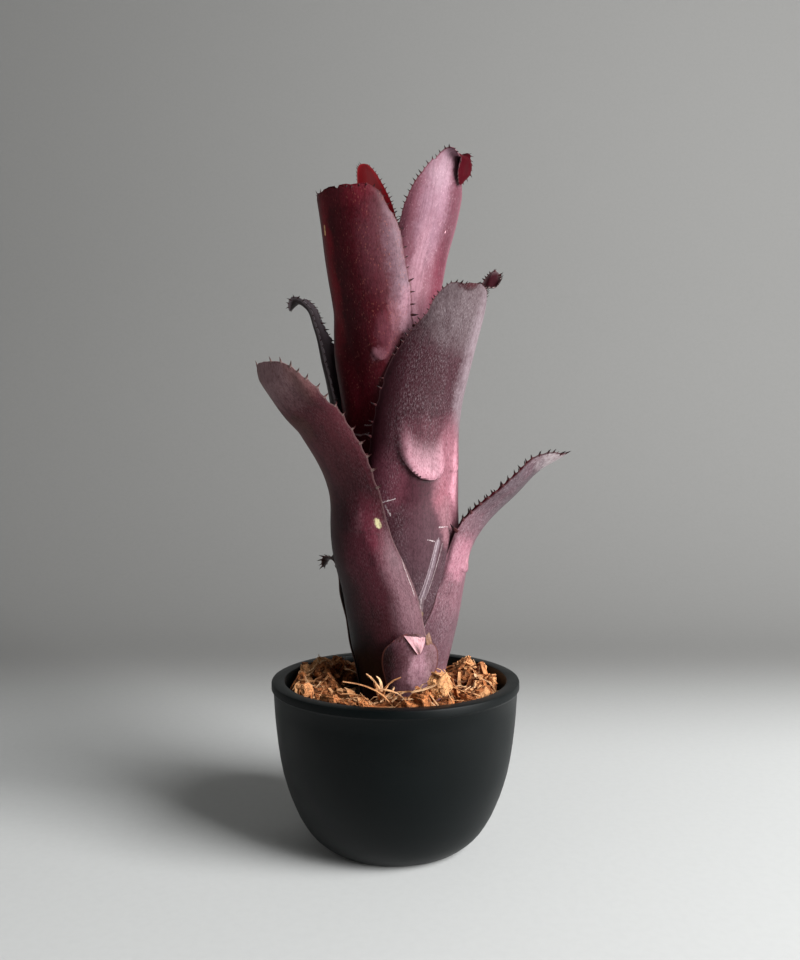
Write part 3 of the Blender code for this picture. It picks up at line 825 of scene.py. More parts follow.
# ---- Low back leaf ----
# An old outer leaf, shrunk to a narrow, dark strap with spines on both edges. It arches out at the back
# left and ends in a hook.

make_leaf("low_back_leaf", dict(
    azimuth=-125, layer=1, tip=(10, 10), sheath=[(78, 28), (93, 28), (108, 24)],
    blade=[
        (33, 119, 12, 22), (36.5, 128.5, 9.5, 30), (42, 134.5, 7, 45), (47.5, 135, 5.2, 45),
        (51.5, 130.5, 4, 40),
    ],
    both_spines=[(75, 91.8, (3.5, 2.4), (1.7, 1.7))],
), dict(shade=(0.04, 0.018, 0.018), lining=(0.04, 0.02, 0.02), scales=0.08))


# ---- Outer left leaf ----
# The lowest full leaf, leaning out to the left with its edges folded up. It is brown plum with a grey
# bloom at its tip, its upper edge is spiny, and its sheath narrows in a soft fold where the blade starts.

make_leaf("outer_left_leaf", dict(
    azimuth=-60, layer=2, tip=(20, 20), shorter=3.6,
    sheath=[(78, 100), (93, 92), (105, 84), (117, 78), (137, 64), (155, 50)],
    blade=[
        (35, 171, 26.2, 48), (40, 183, 26.5, 51), (49, 196, 26.5, 57), (62, 214, 26, 60),
        (75, 232.5, 24, 58),
    ],
    hug=[(100, 0.8), (120, 4.5), (155, 4.5), (175, 0)], folds=[(15, 94, 7, 8, 10, 0.6, 2)],
    moves=[
        ((27, 164), (14, 16), (-1.5, 0, -2.6)), ((-4, 166), (18, 24), (-1.8, 0, -1)),
        ((4, 184), (26, 12), (1.6, 0, 1.8)),
    ],
    left_spines=[(110, 182, (8, 4), (1.8, 1.7))], right_spines=[(112, 182, (8.5, 3.6), (2.1, 1.9), 0.8)],
), dict(
    shade=(0.062, 0.011, 0.017), lining=(0.05, 0.02, 0.022), scales=0.07, blotch=(0.02, 0.004, 0.007),
    patches=[
        ((0.29, 0.175, 0.186), (4, 180), (40, 28), 0.8),
        ((0.135, 0.028, 0.038), (6, 140), (30, 30), 0.6),
        ((0.07, 0.05, 0.022), (3, 148), (9, 11), 0.3),
        ((0.2, 0.055, 0.028), (20, 174), (10, 20), 0.25),
        ((0.15, 0.045, 0.024), (-8, 176), (6, 20), 0.25),
        ((0.12, 0.05, 0.026), (-7, 135), (5, 45), 0.35),
        ((0.15, 0.026, 0.046), (16, 84), (14, 34), 0.65),
        # Painted light: the right side of the sheath, lighter where it turns to the lamp.
        ((0.185, 0.095, 0.115), (33, 66), (12, 50), 0.75),
        # Painted highlight on the soft fold where the blade starts.
        ((0.24, 0.08, 0.105), (15, 99), (3.2, 7), 0.65),
        # Painted shade down the left side.
        ((0.01, 0.002, 0.004), (-17, 52), (30, 66), 0.85),
        # Painted shade beside the fold.
        ((0.02, 0.005, 0.008), (4, 100), (10, 10), 0.55),
        # Painted shadow at the foot, next to the husk.
        ((0.003, 0.0006, 0.001), (0, 30), (26, 23), 0.97),
    ],
    marks=[
        ((0.55, 0.5, 0.28), (23.4, 99.6), (24.2, 97.2), 1.6),
        ((0.42, 0.34, 0.34), (29, 106), (33, 94), 0.4),
        ((0.42, 0.34, 0.34), (34, 90), (37, 64), 0.3),
    ],
    # The scales are left off the painted shadow at the foot.
    margin=((0.2, 0.12, 0.12), 1, 0.4), bare=[((0, 30), (30, 30))],
    spines=((0.06, 0.02, 0.02), (0.2, 0.13, 0.12)),
))


# ---- Right leaf ----
# A narrow leaf that springs out of the tube to the right, channelled along its length. Its blade is grey
# with bloom, its sheath bright mauve pink, and both of its edges are spiny.

make_leaf("right_leaf", dict(
    azimuth=84, layer=3, tip=(30, 30), shorter=2.2,
    sheath=[(78, 95), (93, 70), (105, 63), (117, 50), (137, 45)],
    blade=[
        (35, 148, 21.5, 44), (42, 157.5, 17.8, 58), (55, 169.7, 15.4, 66), (67, 182, 13.6, 63),
        (81.5, 191.5, 10, 48),
    ],
    hug=[(85, 0.8), (100, 3.4), (154, 3.6), (172, 0)], folds=[(-3, 70, 10, 10, 8, 0.9, 3)],
    moves=[
        ((-3, 66), (22, 34), (0.7, 0, 0)), ((-4, 120), (14, 22), (0, 0, 0.9)),
        ((-12, 138), (10, 14), (0, 0, 2.4)), ((12, 138), (10, 14), (0, 0, 2.4)),
        ((-26, 78), (8, 22), (1.4, 2.6, 0)),
    ],
    left_spines=[(88, 147.8, (6.2, 3.4), (3.1, 1.9), 0.7)],
    right_spines=[(86, 147.8, (6.2, 3.4), (2.4, 1.6), 0.7)],
), dict(
    shade=(0.19, 0.09, 0.112), lining=(0.085, 0.01, 0.016), scales=0.17, blotch=(0.14, 0.048, 0.068),
    patches=[
        ((0.105, 0.08, 0.092), (-4, 124), (34, 44), 0.9),
        ((0.47, 0.2, 0.26), (-12, 77), (14, 13), 0.62),
        # Painted highlight on the fold of the sheath.
        ((0.6, 0.27, 0.33), (-4.5, 75.5), (4.5, 5), 0.7),
        ((0.105, 0.052, 0.066), (-14, 38), (28, 20), 0.75),
        # Painted highlight: the pale patch at the tip.
        ((0.47, 0.41, 0.42), (-4, 142), (14, 14), 0.85),
    ],
    # Both marks are painted highlights: a pale streak by the near edge of the sheath and a streak at the
    # tip.
    marks=[((0.7, 0.6, 0.6), (-26.2, 44), (-24, 56), 0.4), ((0.5, 0.46, 0.47), (-2, 133), (-1, 144), 0.8)],
    margin=((0.05, 0.014, 0.018), 0.9, 0.85),
))


# ---- Narrow left leaf ----
# A dark leaf behind the tube at the left. Its blade narrows to a channelled strap with a spoon-shaped,
# recurved tip, so its paler, grey inner face shows at the top.

make_leaf("left_narrow_leaf", dict(
    azimuth=-110, layer=4, tip=(8, 8), sheath=[(78, 110), (105, 105), (129, 92), (160, 75), (185, 58)],
    blade=[
        (35, 212, 16.8, 55), (40.2, 234, 9.2, 58), (45.2, 252, 5.2, 58), (49.8, 262.5, 5, 55),
        (55, 265.5, 5.8, 50), (59.6, 262, 4.5, 45),
    ],
    moves=[((-9, 160), (7, 40), (2, 0, 0))], left_spines=[(125, 211, (6, 2.2), (2.1, 1.5), -1.2)],
    right_spines=[(125, 211, (6, 2.2), (2.1, 1.5), -1)],
), dict(
    shade=(0.034, 0.022, 0.023), lining=(0.075, 0.058, 0.064), rim=(0.22, 0.18, 0.2), scales=0.07,
    margin=((0.24, 0.2, 0.22), 1.8, 0.7),
))


# ---- Front leaf ----
# The broad leaf that wraps the front of the tube. Its blade is grey purple under close silver scales; it
# narrows at its foot in a bright pink hanging fold, and two dry white membranes run down the sheath.

front_lip = (-3.6, 109.2, 16.7, 8.5, 19, 2.5, 17)
make_leaf("front_leaf", dict(
    azimuth=37, layer=5, tip=(75, 18), sheath=[(78, 125), (105, 115), (129, 102), (160, 84), (185, 72)],
    blade=[
        (31, 213, 31.6, 66), (36.5, 235, 30.2, 64, 2.5), (43.5, 253, 27, 60, 3), (47, 262, 24.5, 56, 2.5),
        (49, 267, 22, 52, 2.5),
    ],
    flare=0.9, folds=[front_lip, (12, 112, 10, 10, 15, 0.8, 4)],
    moves=[((-14, 196), (11, 13), (-1.2, 0, 3)), ((0, 202.5), (7, 6), (1, 0, -1))],
    left_spines=[(112, 155, (9.5, 6), (2.4, 2.2), 1), (160, 201.4, (3.4, 2.2), (1.8, 1.6))],
    right_spines=[(125, 201.4, (6, 1.6), (1.4, 1.3))],
), dict(
    shade=(0.05, 0.014, 0.021), lining=(0.09, 0.012, 0.02), scales=0.145, blotch=(0.04, 0.01, 0.016),
    patches=[
        ((0.15, 0.115, 0.123), (6, 192), (40, 30), 0.8),
        ((0.05, 0.006, 0.01), (-1, 203), (9, 7), 0.95),
        # Painted sheen down the right side of the blade.
        ((0.285, 0.222, 0.246), (19, 166), (14.5, 55), 0.8),
        # Painted shade down the left edge.
        ((0.022, 0.002, 0.005), (-33, 142), (15, 50), 0.92),
        ((0.04, 0.01, 0.015), (-9, 146), (14, 24), 0.55),
        ((0.115, 0.034, 0.048), (-6, 128), (18, 14), 0.6),
        ((0.085, 0.024, 0.036), (-6, 90), (15, 28), 0.6),
        ((0.35, 0.14, 0.178), (10.5, 108), (15, 38), 0.8),
        # Painted highlight on the right of the hanging fold.
        ((0.64, 0.3, 0.37), (13.5, 110), (5, 18), 0.75),
        ((0.17, 0.04, 0.06), (-18, 107), (8, 10), 0.4),
        ((0.26, 0.08, 0.105), (4, 102), (6, 9), 0.45),
        # Painted shadow under the hanging fold.
        ((0.048, 0.009, 0.017), (-10, 105), (10, 10), 0.85),
        ((0.115, 0.03, 0.046), (-24, 108), (10, 20), 0.8),
        ((0.088, 0.05, 0.062), (-4, 66), (26, 36), 0.5),
        ((0.27, 0.13, 0.152), (6, 90), (6, 15), 0.75),
    ],
    lips=[((0.46, 0.225, 0.275), front_lip)],
    marks=[
        ((0.17, 0.12, 0.14), (0.3, 80), (-7, 53.1), 1.7),
        ((0.16, 0.11, 0.12), (-7, 53.1), (-7.1, 40), 1.4),
        ((0.32, 0.26, 0.28), (0.6, 81.5), (-7.3, 53.1), 0.32),
        ((0.44, 0.37, 0.38), (-7.3, 53.1), (-7.4, 40), 0.3),
        ((0.26, 0.2, 0.22), (-0.8, 80), (-8.7, 53.1), 0.26),
        ((0.26, 0.2, 0.21), (3, 79), (-5.5, 53.1), 0.26),
        ((0.26, 0.17, 0.09), (-6.9, 46), (-6.4, 37), 1.4),
        ((0.5, 0.42, 0.43), (-26.8, 98.5), (-20.5, 100.3), 0.34),
        ((0.42, 0.34, 0.35), (-25, 97.5), (-22.5, 92.5), 0.28),
        ((0.5, 0.42, 0.43), (1.2, 86.8), (6.8, 86.6), 0.34),
        ((0.42, 0.34, 0.35), (-5.2, 81.2), (-1.8, 80.3), 0.32),
        ((0.6, 0.54, 0.54), (0.8, 40), (6.5, 38), 0.4),
        ((0.6, 0.54, 0.54), (3.5, 41), (4.2, 35), 0.35),
        ((0.03, 0.004, 0.01), (11.1, 35.7), (11.2, 36.2), 0.7),
    ],
    margin=((0.09, 0.04, 0.045), 0.8, 0.5),
    # The first two bare places keep the scales off the painted shade on the left edge and under the fold.
    bare=[((-33, 142), (17, 52)), ((-10, 105), (12, 12)), ((-5, 86), (16, 30))],
))


# ---- Hooked right leaf ----
# A leaf on the far side of the tube whose blade shrinks to a stalk and ends in a small spiny spoon, just
# above the front leaf's tip.

make_leaf("right_hooked_leaf", dict(
    azimuth=115, layer=6, tip=(9, 9), sheath=[(82, 120), (105, 112), (129, 100), (160, 82), (200, 60)],
    blade=[
        (29, 225, 16, 42), (33, 248, 9, 42), (39, 264, 4.6, 40), (45.2, 271, 3, 40), (51, 275.5, 4.7, 30),
        (55, 282, 4.6, 30),
    ],
    moves=[((-6, 214.5), (8, 10), (1.4, 1, -2.6)), ((6, 214.5), (8, 10), (-1, -1, 1.6))],
    both_spines=[(150, 219, (5.5, 1.3), (1.4, 1.8))],
), dict(shade=(0.15, 0.108, 0.115), lining=(0.04, 0.008, 0.012), rim=(0.21, 0.15, 0.155), scales=0.18))


# ---- Tall left leaf ----
# The tall, broad leaf at the left, deep wine red with tan flecks. Its edges wrap round the tube, its top is
# blunt and dark, and along its right side lies a grey-mauve bloom with a painted sheen over it.

make_leaf("tall_left_leaf", dict(
    azimuth=-35, layer=7, tip=(8, 30), blunt=2.4, ragged=1.2,
    sheath=[(85, 125), (105, 120), (129, 112), (160, 100), (200, 82)],
    blade=[
        (26.5, 215, 28.5, 76), (32, 236, 28, 74), (38.5, 258, 27.5, 74), (44.5, 280, 27, 74),
        (48, 298, 26.5, 72), (50, 308, 26, 70),
    ],
    folds=[(9.8, 158, 4.2, 7.5, 11, 0.7, 6)], flare=0.5,
    moves=[
        ((1, 240), (1.6, 6), (0, 0, -2)), ((-11, 239), (5, 6), (0, 0, -1.2)),
        ((18, 234), (10, 12), (1.2, 0, 2.4)), ((28, 206), (10, 34), (2.2, 0, 0)),
        ((-16, 142), (14, 40), (-3.6, 0, 0)),
    ],
    left_spines=[(150, 239.2, (7.5, 2.8), (1.6, 1.3))],
    right_spines=[(150, 192, (5.8, 5.8), (2.4, 2.2), -0.8), (196, 239.2, (4.2, 3), (1.6, 1.3))],
), dict(
    shade=(0.062, 0.0022, 0.0068), lining=(0.05, 0.003, 0.006), scales=0.018, gloss=0.38,
    blotch=(0.095, 0.004, 0.011), blotches=0.4, flecks=0.4, pores=0.35,
    patches=[
        ((0.105, 0.004, 0.012), (-6, 126), (40, 34), 0.7),
        ((0.048, 0.0016, 0.006), (3, 180), (13, 30), 0.6),
        # The grey-mauve band along the right edge: wax bloom with a painted sheen.
        ((0.23, 0.142, 0.178), (25.8, 202), (8.5, 42), 0.84),
        ((0.095, 0.034, 0.046), (17, 208), (12.5, 34), 0.45),
        ((0.3, 0.13, 0.165), (9.5, 161), (4.6, 3.6), 0.65),
        ((0.165, 0.05, 0.07), (15, 168), (7.5, 14), 0.6),
        ((0.28, 0.12, 0.15), (19.5, 177), (4, 12), 0.6),
        ((0.3, 0.008, 0.02), (-11.5, 205), (8, 60), 0.65),
        ((0.12, 0.008, 0.016), (-2, 236), (40, 12), 0.7),
        ((0.06, 0.006, 0.0066), (-15, 205), (5, 45), 0.4),
        # The brightest lower part of that band: bloom with a painted sheen.
        ((0.44, 0.23, 0.285), (25.5, 172), (5.2, 22), 0.8),
    ],
    marks=[
        # Painted highlight: a small warm glint on the left.
        ((0.95, 0.6, 0.28), (-10.5, 216.8), (-10.3, 220), 0.9),
        ((0.42, 0.34, 0.35), (-3, 128.4), (0.8, 128.4), 0.5),
        ((0.42, 0.34, 0.35), (-10, 125), (-6, 123.6), 0.6),
        ((0.4, 0.32, 0.33), (-6, 123.6), (-1, 124.6), 0.5),
    ],
    margin=((0.075, 0.018, 0.018), 0.8, 0.6),
))


# ---- Red back leaf ----
# A young leaf at the back whose crimson inner face shows above the tall left leaf. It is thin enough for
# light to come through, and that light is painted as a brighter red band along the edges of its inner face.
# Close, dark spines run up both of its edges.

make_leaf("red_back_leaf", dict(
    azimuth=-145, layer=8, tip=(36, 12), shorter=1, sheath=[(90, 125), (129, 115), (160, 98), (200, 80)],
    blade=[
        (22.5, 250, 21.5, 65), (24.5, 280, 19, 62), (28, 305, 16.5, 58), (31.5, 323, 11.8, 50),
        (34.5, 338.5, 9.8, 44),
    ],
    moves=[((0, 250), (30, 25), (2.6, 0, 0.4))], both_spines=[(170, 260, (4, 2.2), (1.6, 1.2))],
), dict(
    shade=(0.07, 0.004, 0.009), lining=(0.055, 0.0004, 0.0015), scales=0.05, gloss=0.34,
    blotch=(0.08, 0.004, 0.01), blotches=0.5,
))


# ---- Tall right leaf ----
# The tallest leaf, mauve pink with a broad pale bloom that carries a painted highlight, and with painted
# shade on
# its left edge. Its tip is hooded: it bends over to the right and shows its dark red inner face.

make_leaf("tall_right_leaf", dict(
    azimuth=60, layer=9, tip=(40, 20), sheath=[(92, 125), (129, 115), (160, 103), (200, 90)],
    blade=[
        (18.5, 240, 25.5, 80), (19, 260, 24.5, 80), (22, 280, 26, 76), (28.5, 303, 26.5, 72),
        (30.8, 315, 24.5, 67), (32.2, 322.5, 21.5, 60), (33.4, 325.8, 17.5, 50), (34.6, 325, 13, 42),
        (35, 320, 9.5, 36), (34.6, 315, 7, 34),
    ],
    moves=[
        ((16, 244), (14, 14), (-4.2, 0, 1.6)), ((-1, 256), (16, 8), (-2.1, 0, 0)),
        ((1, 248), (9, 6), (-0.5, 0, 2.8)),
    ],
    left_spines=[(170, 190, (7, 7), (2, 1.7), -0.8), (192, 257.8, (3, 2.2), (1.5, 1.2))],
    right_spines=[(170, 257.8, (8.5, 2.4), (1.6, 1.2))],
), dict(
    shade=(0.215, 0.078, 0.106), lining=(0.045, 0.001, 0.004), rim=(0.055, 0.002, 0.006), scales=0.08,
    blotch=(0.17, 0.052, 0.076), blotches=0.35, fleck=(0.7, 0.45, 0.5), flecks=0.22, pores=0.22, mottle=0.2,
    patches=[
        # Painted shade on the left edge.
        ((0.15, 0.042, 0.062), (-28, 205), (7.5, 60), 0.85),
        # The pale band: bloom with a painted highlight, here and in the next patch.
        ((0.31, 0.172, 0.225), (-12, 224), (10.5, 38), 0.8),
        ((0.33, 0.215, 0.26), (-11, 242), (12, 14), 0.45),
        ((0.145, 0.022, 0.04), (0, 186), (7.6, 34), 0.85),
        # Painted highlight low on the left.
        ((0.48, 0.255, 0.315), (-13.8, 192), (4.6, 34), 0.62),
        ((0.098, 0.028, 0.042), (-0.2, 222), (8.8, 36), 0.75),
    ],
    marks=[((0.75, 0.42, 0.48), (-3, 213), (-2.9, 213.8), 0.4)], margin=((0.12, 0.032, 0.042), 0.9, 0.7),
))


# ---- Coconut husk ----
# Chopped coconut husk, laid on the compost: torn chunks of corky pith full of stiff fibres, with flat
# splinters and hairs lying over and between them. Nothing fixes them.

HUSK_CUTS = 5
HUSK_GRAIN = 0.0026
CORNER_WEAR = 0.16
END_WEAR = 0.10
GROOVES = 0.30
LUMPS = 0.16
FRAYED_ENDS = 0.20
CHUNK_BEND = 0.16
SPLINTERS = 460
SPLINTER_SIDES = 4
SPLINTER_WIDTH = (0.0007, 0.0020)
SPLINTER_LENGTH = (0.006, 0.016)
SPLINTER_LIFT = (0, 0.0012)
HAIRS = 110
HAIR_SIDES = 3
HAIR_WIDTH = 0.00032
HAIR_LENGTH = (0.008, 0.022)
HAIR_LIFT = (0.0005, 0.0025)
ARCHED_STRANDS = 9
ARCH_STEPS = 5
STRAND_STIFFNESS = 0.75
STRAND_RING = 0.002
STRAND_SIDE = 0.0004
HUSK_SEED = 23
PLANT_FOOT = 0.0275
HEAP_REACH = 0.0522
HEAP_FLOOR = 0.07
CRUMB_PLACES_AND_SIZES = metres([
    (-45, 12, 79, 5.2), (-38, 24, 79.5, 5.8), (-29, 31, 79, 5.2), (-46, 1, 78, 4.4), (-36, 10, 80, 5.2),
    (-30, 20, 79, 5), (43, 12, 79, 5), (37, 25, 79.5, 5.4), (46, -6, 78, 4.6), (20, -38, 85.5, 6.8),
    (-30, -36, 78.5, 4.8), (-14, -46, 78.5, 4.4), (12, -43, 80, 5.2), (-42, -22, 78.5, 4.6),
    (40, -26, 78.5, 4.6),
])


def torn_husk(name, dark, light, bright):
    made, tree = new_finish(name, Roughness=0.85, Specular_IOR_Level=0.25)
    place = tree.own("husk")
    tone = tree.own("tone", 2)
    fibres = place.scaled((0.10, 1, 1)).grain(0.00050, 3.0, 0.65)
    pith = place.grain(0.0024, 4.0, 0.65)
    colour = tree.colour(dark).tint(pith.step(0.34, 0.58), light).tint(tone.step(0.45, 1.0) * 0.7, bright)
    colour = colour.tint(fibres.step(0.54, 0.72) * 0.65, bright)
    colour = colour.tint(tone.step(0.35, 0.0) * 0.6, dark)
    colour = colour.tint(fibres.step(0.46, 0.30) * 0.75, (0.030, 0.010, 0.005))
    wire(made, Base_Color=colour, Normal=(fibres + 0.8 * pith).bump(0.0010))
    return made


def mark_husk(piece, places, tones):
    carry(piece, "husk", places)
    piece.data.attributes.new("tone", "FLOAT", "POINT").data.foreach_set("value", np.ravel(tones))


def chunk_axes(node):
    """The middle of a solid, its three directions, longest first, and its half sizes along them."""
    points = points_of(node.data)
    middle = (points.max(0) + points.min(0)) / 2
    _, _, axes = np.linalg.svd(points - points.mean(0), full_matrices=False)
    axes[2] = np.cross(axes[0], axes[1])
    local = (points - middle) @ axes.T
    return middle + ((local.max(0) + local.min(0)) / 2) @ axes, axes, (local.max(0) - local.min(0)) / 2


def make_chunk(name, finish, chance):
    """A torn chunk in a chip's place: a finely divided block, worn at its corners, grooved and frayed."""
    middle, axes, half = chunk_axes(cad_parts[name])
    bpy.ops.object.select_all(action="DESELECT")
    bpy.ops.mesh.primitive_cube_add(size=2)
    chunk = bpy.context.object
    chunk.name = name + "_torn"
    bpy.ops.object.mode_set(mode="EDIT")
    bpy.ops.mesh.select_all(action="SELECT")
    bpy.ops.mesh.subdivide(number_cuts=HUSK_CUTS)
    bpy.ops.mesh.subdivide(number_cuts=1)
    bpy.ops.object.mode_set(mode="OBJECT")
    shift = Vector((chance.uniform(0, 9), chance.uniform(0, 9), chance.uniform(0, 9)))
    own, places = [], []
    for vertex in chunk.data.vertices:
        x, y, z = vertex.co
        worn = CORNER_WEAR * max(0, abs(y) + abs(z) - 1.1)
        worn_end = END_WEAR * max(0, abs(x) + abs(y) - 1.2)
        local = np.array([x, y, z]) * half * (1 - worn - worn_end)
        at = Vector(local / HUSK_GRAIN)
        groove = noise.noise(Vector((at.x * 0.15, at.y * 2.4, at.z * 2.4)) + shift)
        lump = noise.fractal(at * 0.7 + shift, 0.9, 2.0, 4)
        local[1:] *= 1 + GROOVES * groove + LUMPS * lump
        fray = noise.noise(Vector((shift.x, at.y * 3.0, at.z * 3.0)))
        local[0] *= 1 + FRAYED_ENDS * fray
        local[2] += CHUNK_BEND * half[2] * math.sin(1.3 * x + shift.y)
        own.append(local + shift.x)
        places.append(middle + local @ axes)
    chunk.data.vertices.foreach_set("co", np.ravel(places))
    mark_husk(chunk, own, np.full(len(places), chance.uniform(0.1, 0.9)))
    face_outwards(chunk)
    smooth_below(chunk, 30)
    chunk.data.materials.append(finish)
    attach(chunk, "root")
    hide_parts(name)
    return chunk


def loose_husk(name, points, faces, own, tones, finish):
    piece = mesh_piece(name, points, faces)
    mark_husk(piece, own, tones)
    face_outwards(piece)
    smooth_below(piece, 30)
    piece.data.materials.append(finish)
    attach(piece, "root")
    return piece


def make_crumbs(chunks, finish, chance):
    """Smaller torn pieces, turned every way, that lie on the chunks."""
    vertices, faces, own, tones = [], [], [], []
    for x, y, height, size in CRUMB_PLACES_AND_SIZES:
        like = chance.choice(chunks).data
        points = points_of(like)
        points -= points.mean(axis=0)
        turn = Euler([chance.uniform(0, math.tau) for _ in range(3)]).to_matrix()
        points = points @ np.array(turn).T * (size / np.abs(points).max())
        first = len(vertices)
        vertices += [tuple(point) for point in points + (x, y, height)]
        faces += [tuple(first + corner for corner in face.vertices) for face in like.polygons]
        own += [tuple(point + 7 * x) for point in points @ np.array(turn)]
        tones += [chance.uniform(0.3, 1.0)] * len(points)
    return loose_husk("husk_crumbs", vertices, faces, own, tones, finish)


def strand(path, widths, sides, flat):
    """Points and faces of a bent strand through a path, flattened and drawn to its widths."""
    points, faces = [], []
    ahead = unit(np.gradient(path, axis=0))
    level = unit(np.cross(ahead, (0.02, 0.03, 1.0)))
    above = np.cross(level, ahead)
    for place, width, sideways, up in zip(path, widths, level, above):
        for corner in range(sides):
            angle = math.tau * (corner + 0.5) / sides
            points.append(place + width * (math.cos(angle) * sideways + flat * math.sin(angle) * up))
    for ring in range(len(path) - 1):
        for corner in range(sides):
            low, high = ring * sides + corner, ring * sides + (corner + 1) % sides
            faces.append((low, high, high + sides, low + sides))
    faces.append(tuple(range(sides))[::-1])
    faces.append(tuple(range(len(points) - sides, len(points))))
    return points, faces


def gather_strands(name, strands, sides, finish, chance):
    """One mesh of many strands, each with its own tone."""
    vertices, faces, own, tones = [], [], [], []
    for points, strand_faces in strands:
        first = len(vertices)
        vertices += [tuple(point) for point in points]
        faces += [tuple(first + corner for corner in face) for face in strand_faces]
        shift, tone = chance.uniform(0, 5), chance.uniform(0, 1)
        for number in range(len(points)):
            ring, corner = divmod(number, sides)
            own.append((shift + STRAND_RING * ring, shift + STRAND_SIDE * corner, shift))
            tones.append(tone)
    loose_husk(name, vertices, faces, own, tones, finish)


def inside_ring(place):
    """The nearest place that is inside the pot and clear of the plant's foot."""
    if place.xy.length > HEAP_REACH:
        place.xy *= HEAP_REACH / place.xy.length
    foot = Vector((TUBE_CENTRES[0], 0))
    beside = place.xy - foot
    if beside.length < PLANT_FOOT:
        place.xy = foot + beside.normalized() * PLANT_FOOT
    return place


def lying_strand(heap, length, width, steps, bend, lift, chance):
    """A path laid over the heap, its ends resting on whatever is under them."""
    angle, reach = chance.uniform(0, math.tau), chance.uniform(PLANT_FOOT + 0.001, HEAP_REACH)
    heading = chance.uniform(0, math.tau)
    place = Vector((reach * math.cos(angle), reach * math.sin(angle), 0))
    path = []
    for _ in range(steps):
        place = inside_ring(place)
        ground = heap.ray_cast(Vector((place.x, place.y, 0.2)), Vector((0, 0, -1)))[0]
        path.append((place.x, place.y, (ground.z if ground else HEAP_FLOOR) + lift + 0.3 * width))
        heading += chance.uniform(-bend, bend)
        place = place + Vector((math.cos(heading), math.sin(heading), 0)) * length / (steps - 1)
    path = np.array(path)
    ends = np.linspace(path[0, 2], path[-1, 2], steps)
    stiff = np.maximum(ends, path[:, 2].mean())
    path[:, 2] = (1 - STRAND_STIFFNESS) * path[:, 2] + STRAND_STIFFNESS * stiff
    taper = [width * (0.55 + 0.45 * math.sin(math.pi * (step + 0.7) / steps)) * chance.uniform(0.75, 1.15)
             for step in range(steps)]
    return path, taper


husk_chance = random.Random(HUSK_SEED)
husk = torn_husk("torn_husk", (0.095, 0.029, 0.010), (0.590, 0.205, 0.068), (0.86, 0.46, 0.21))
pale_husk = torn_husk("pale_husk", (0.36, 0.14, 0.055), (0.74, 0.37, 0.16), (0.94, 0.64, 0.38))
chips = sorted(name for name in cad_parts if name.startswith("husk_chip"))
chunks = [make_chunk(chip, husk, husk_chance) for chip in chips]
chunks.append(make_crumbs(chunks, husk, husk_chance))
heap_corners, heap_faces = [], []
for chunk in [*chunks, bpy.data.objects["compost"]]:
    heap_faces += [[len(heap_corners) + corner for corner in face.vertices] for face in chunk.data.polygons]
    heap_corners += [vertex.co.copy() for vertex in chunk.data.vertices]
heap = BVHTree.FromPolygons(heap_corners, heap_faces)

splinters, pale_splinters, hairs = [], [], []
for number in range(SPLINTERS):
    width = husk_chance.uniform(*SPLINTER_WIDTH)
    length, lift = husk_chance.uniform(*SPLINTER_LENGTH), husk_chance.uniform(*SPLINTER_LIFT)
    path, widths = lying_strand(heap, length, width, steps=4, bend=0.14, lift=lift, chance=husk_chance)
    splinter = strand(path, widths, SPLINTER_SIDES, flat=0.30)
    (splinters if number % 3 else pale_splinters).append(splinter)
for _ in range(HAIRS):
    length, lift = husk_chance.uniform(*HAIR_LENGTH), husk_chance.uniform(*HAIR_LIFT)
    path, widths = lying_strand(heap, length, HAIR_WIDTH, steps=9, bend=0.45, lift=lift, chance=husk_chance)
    hairs.append(strand(path, widths, HAIR_SIDES, flat=1.0))
for _ in range(ARCHED_STRANDS):
    foot = np.array((husk_chance.uniform(-0.008, 0.006), husk_chance.uniform(-0.041, -0.036), 0.0785))
    lean = unit(np.array((husk_chance.uniform(-1.7, 1.3), husk_chance.uniform(-0.3, 0.3), 1)))
    hang = np.array((husk_chance.uniform(-0.011, 0.011), 0, -0.006))
    length = husk_chance.uniform(0.013, 0.021)
    steps = [step / ARCH_STEPS for step in range(ARCH_STEPS + 1)]
    path = np.array([foot + lean * length * step + hang * step ** 2 for step in steps])
    widths = [husk_chance.uniform(0.0008, 0.0014) * (1.1 - 0.6 * step) for step in steps]
    pale_splinters.append(strand(path, widths, SPLINTER_SIDES, flat=0.4))
gather_strands("husk_splinters", splinters, SPLINTER_SIDES, husk, husk_chance)
gather_strands("pale_splinters", pale_splinters, SPLINTER_SIDES, pale_husk, husk_chance)
gather_strands("husk_hairs", hairs, HAIR_SIDES, pale_husk, husk_chance)


# ---- Table, light and camera ----
# None of this is part of the plant: a pale table that turns greyer where it runs up into the backdrop, a
# big soft lamp on the right with a weak one on the left, and the camera level with the plant's middle.

TABLE_COLOUR = (0.55, 0.56, 0.555)
BACKDROP_COLOUR = (0.250, 0.249, 0.243)
BACKDROP_AT = 0.9
BACKDROP_HEIGHT = 2.4
BACKDROP_CURVE = 0.45
TABLE_REACH = 2.5
WORLD_LIGHT = 0.19
KEY_POWER = 60
FILL_POWER = 1.5
LAMPS_AIM_AT = (0, 0, 0.16)
CAMERA_AT = (0.0022, -0.459, 0.1925)
CAMERA_DOWN = 1.95
CAMERA_LENS = 35.25


def pale_paint():
    made, tree = new_finish("pale_paint", Roughness=0.9)
    place = tree.place()
    speckle = place.grain(0.004, 3.0)
    beyond = place.parts()[1]
    colour = tree.colour(TABLE_COLOUR).tint(beyond.sum("ABSOLUTE", beyond).step(0.10, 0.42), BACKDROP_COLOUR)
    wire(made, Base_Color=colour.tint(speckle.step(0.3, 0.8) * 0.20, (0.86, 0.86, 0.86), "MULTIPLY"))
    return made


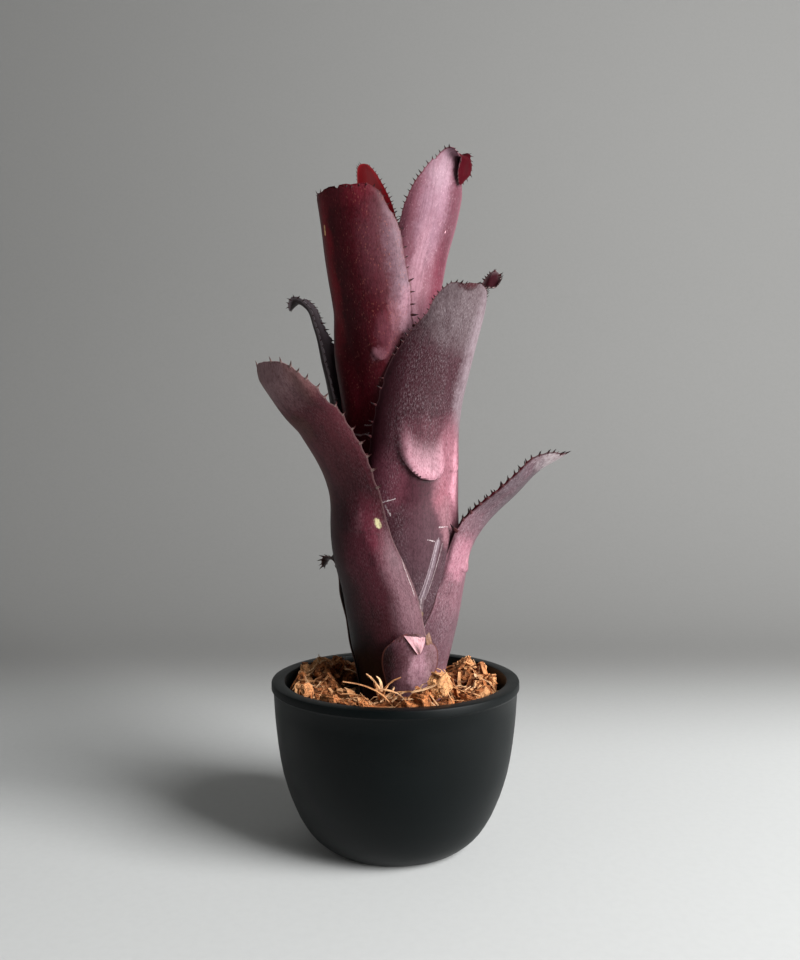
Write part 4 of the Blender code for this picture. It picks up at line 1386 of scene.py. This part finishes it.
def make_table():
    bpy.ops.object.select_all(action="DESELECT")
    bpy.ops.mesh.primitive_plane_add(size=2, location=(0, 0, 0))
    table = bpy.context.object
    table.name = "table"
    bpy.ops.object.mode_set(mode="EDIT")
    bpy.ops.mesh.select_all(action="SELECT")
    bpy.ops.transform.resize(value=(TABLE_REACH, TABLE_REACH, 1))
    bpy.ops.object.mode_set(mode="OBJECT")
    for vertex in table.data.vertices:
        vertex.co.y = min(vertex.co.y, BACKDROP_AT)
    for edge in table.data.edges:
        edge.select = all(table.data.vertices[corner].co.y > 0 for corner in edge.vertices)
    for face in table.data.polygons:
        face.select = False
    bpy.ops.object.mode_set(mode="EDIT")
    bpy.ops.mesh.select_mode(type="EDGE")
    bpy.ops.mesh.extrude_region_move(TRANSFORM_OT_translate={"value": (0, 0, BACKDROP_HEIGHT)})
    bpy.ops.object.mode_set(mode="OBJECT")
    curve = table.modifiers.new("curve", "BEVEL")
    curve.width = BACKDROP_CURVE
    curve.segments = 16
    only(table)
    bpy.ops.object.modifier_apply(modifier="curve")
    bpy.ops.object.shade_smooth()
    table.data.materials.append(pale_paint())


def make_lamp(name, power, size, place):
    bpy.ops.object.light_add(type="AREA", location=place)
    lamp = bpy.context.object
    lamp.name = name
    lamp.data.shape = "RECTANGLE"
    lamp.data.size, lamp.data.size_y = size
    lamp.data.energy = power
    lamp.rotation_euler = (Vector(LAMPS_AIM_AT) - Vector(place)).to_track_quat("-Z", "Y").to_euler()


make_table()
make_lamp("window", KEY_POWER, size=(0.9, 1.2), place=(1.15, -0.75, 0.80))
make_lamp("fill", FILL_POWER, size=(1.0, 1.0), place=(-1.2, -0.9, 0.8))
world = bpy.data.worlds.new("room")
world.use_nodes = True
world.node_tree.nodes["Background"].inputs["Color"].default_value = (1, 1, 1, 1)
world.node_tree.nodes["Background"].inputs["Strength"].default_value = WORLD_LIGHT
bpy.context.scene.world = world

bpy.ops.object.camera_add(location=CAMERA_AT, rotation=(math.radians(90 - CAMERA_DOWN), 0, 0))
camera = bpy.context.object
camera.data.lens = CAMERA_LENS
camera.data.sensor_width = 36
bpy.context.scene.camera = camera
bpy.context.scene.view_settings.view_transform = "Standard"
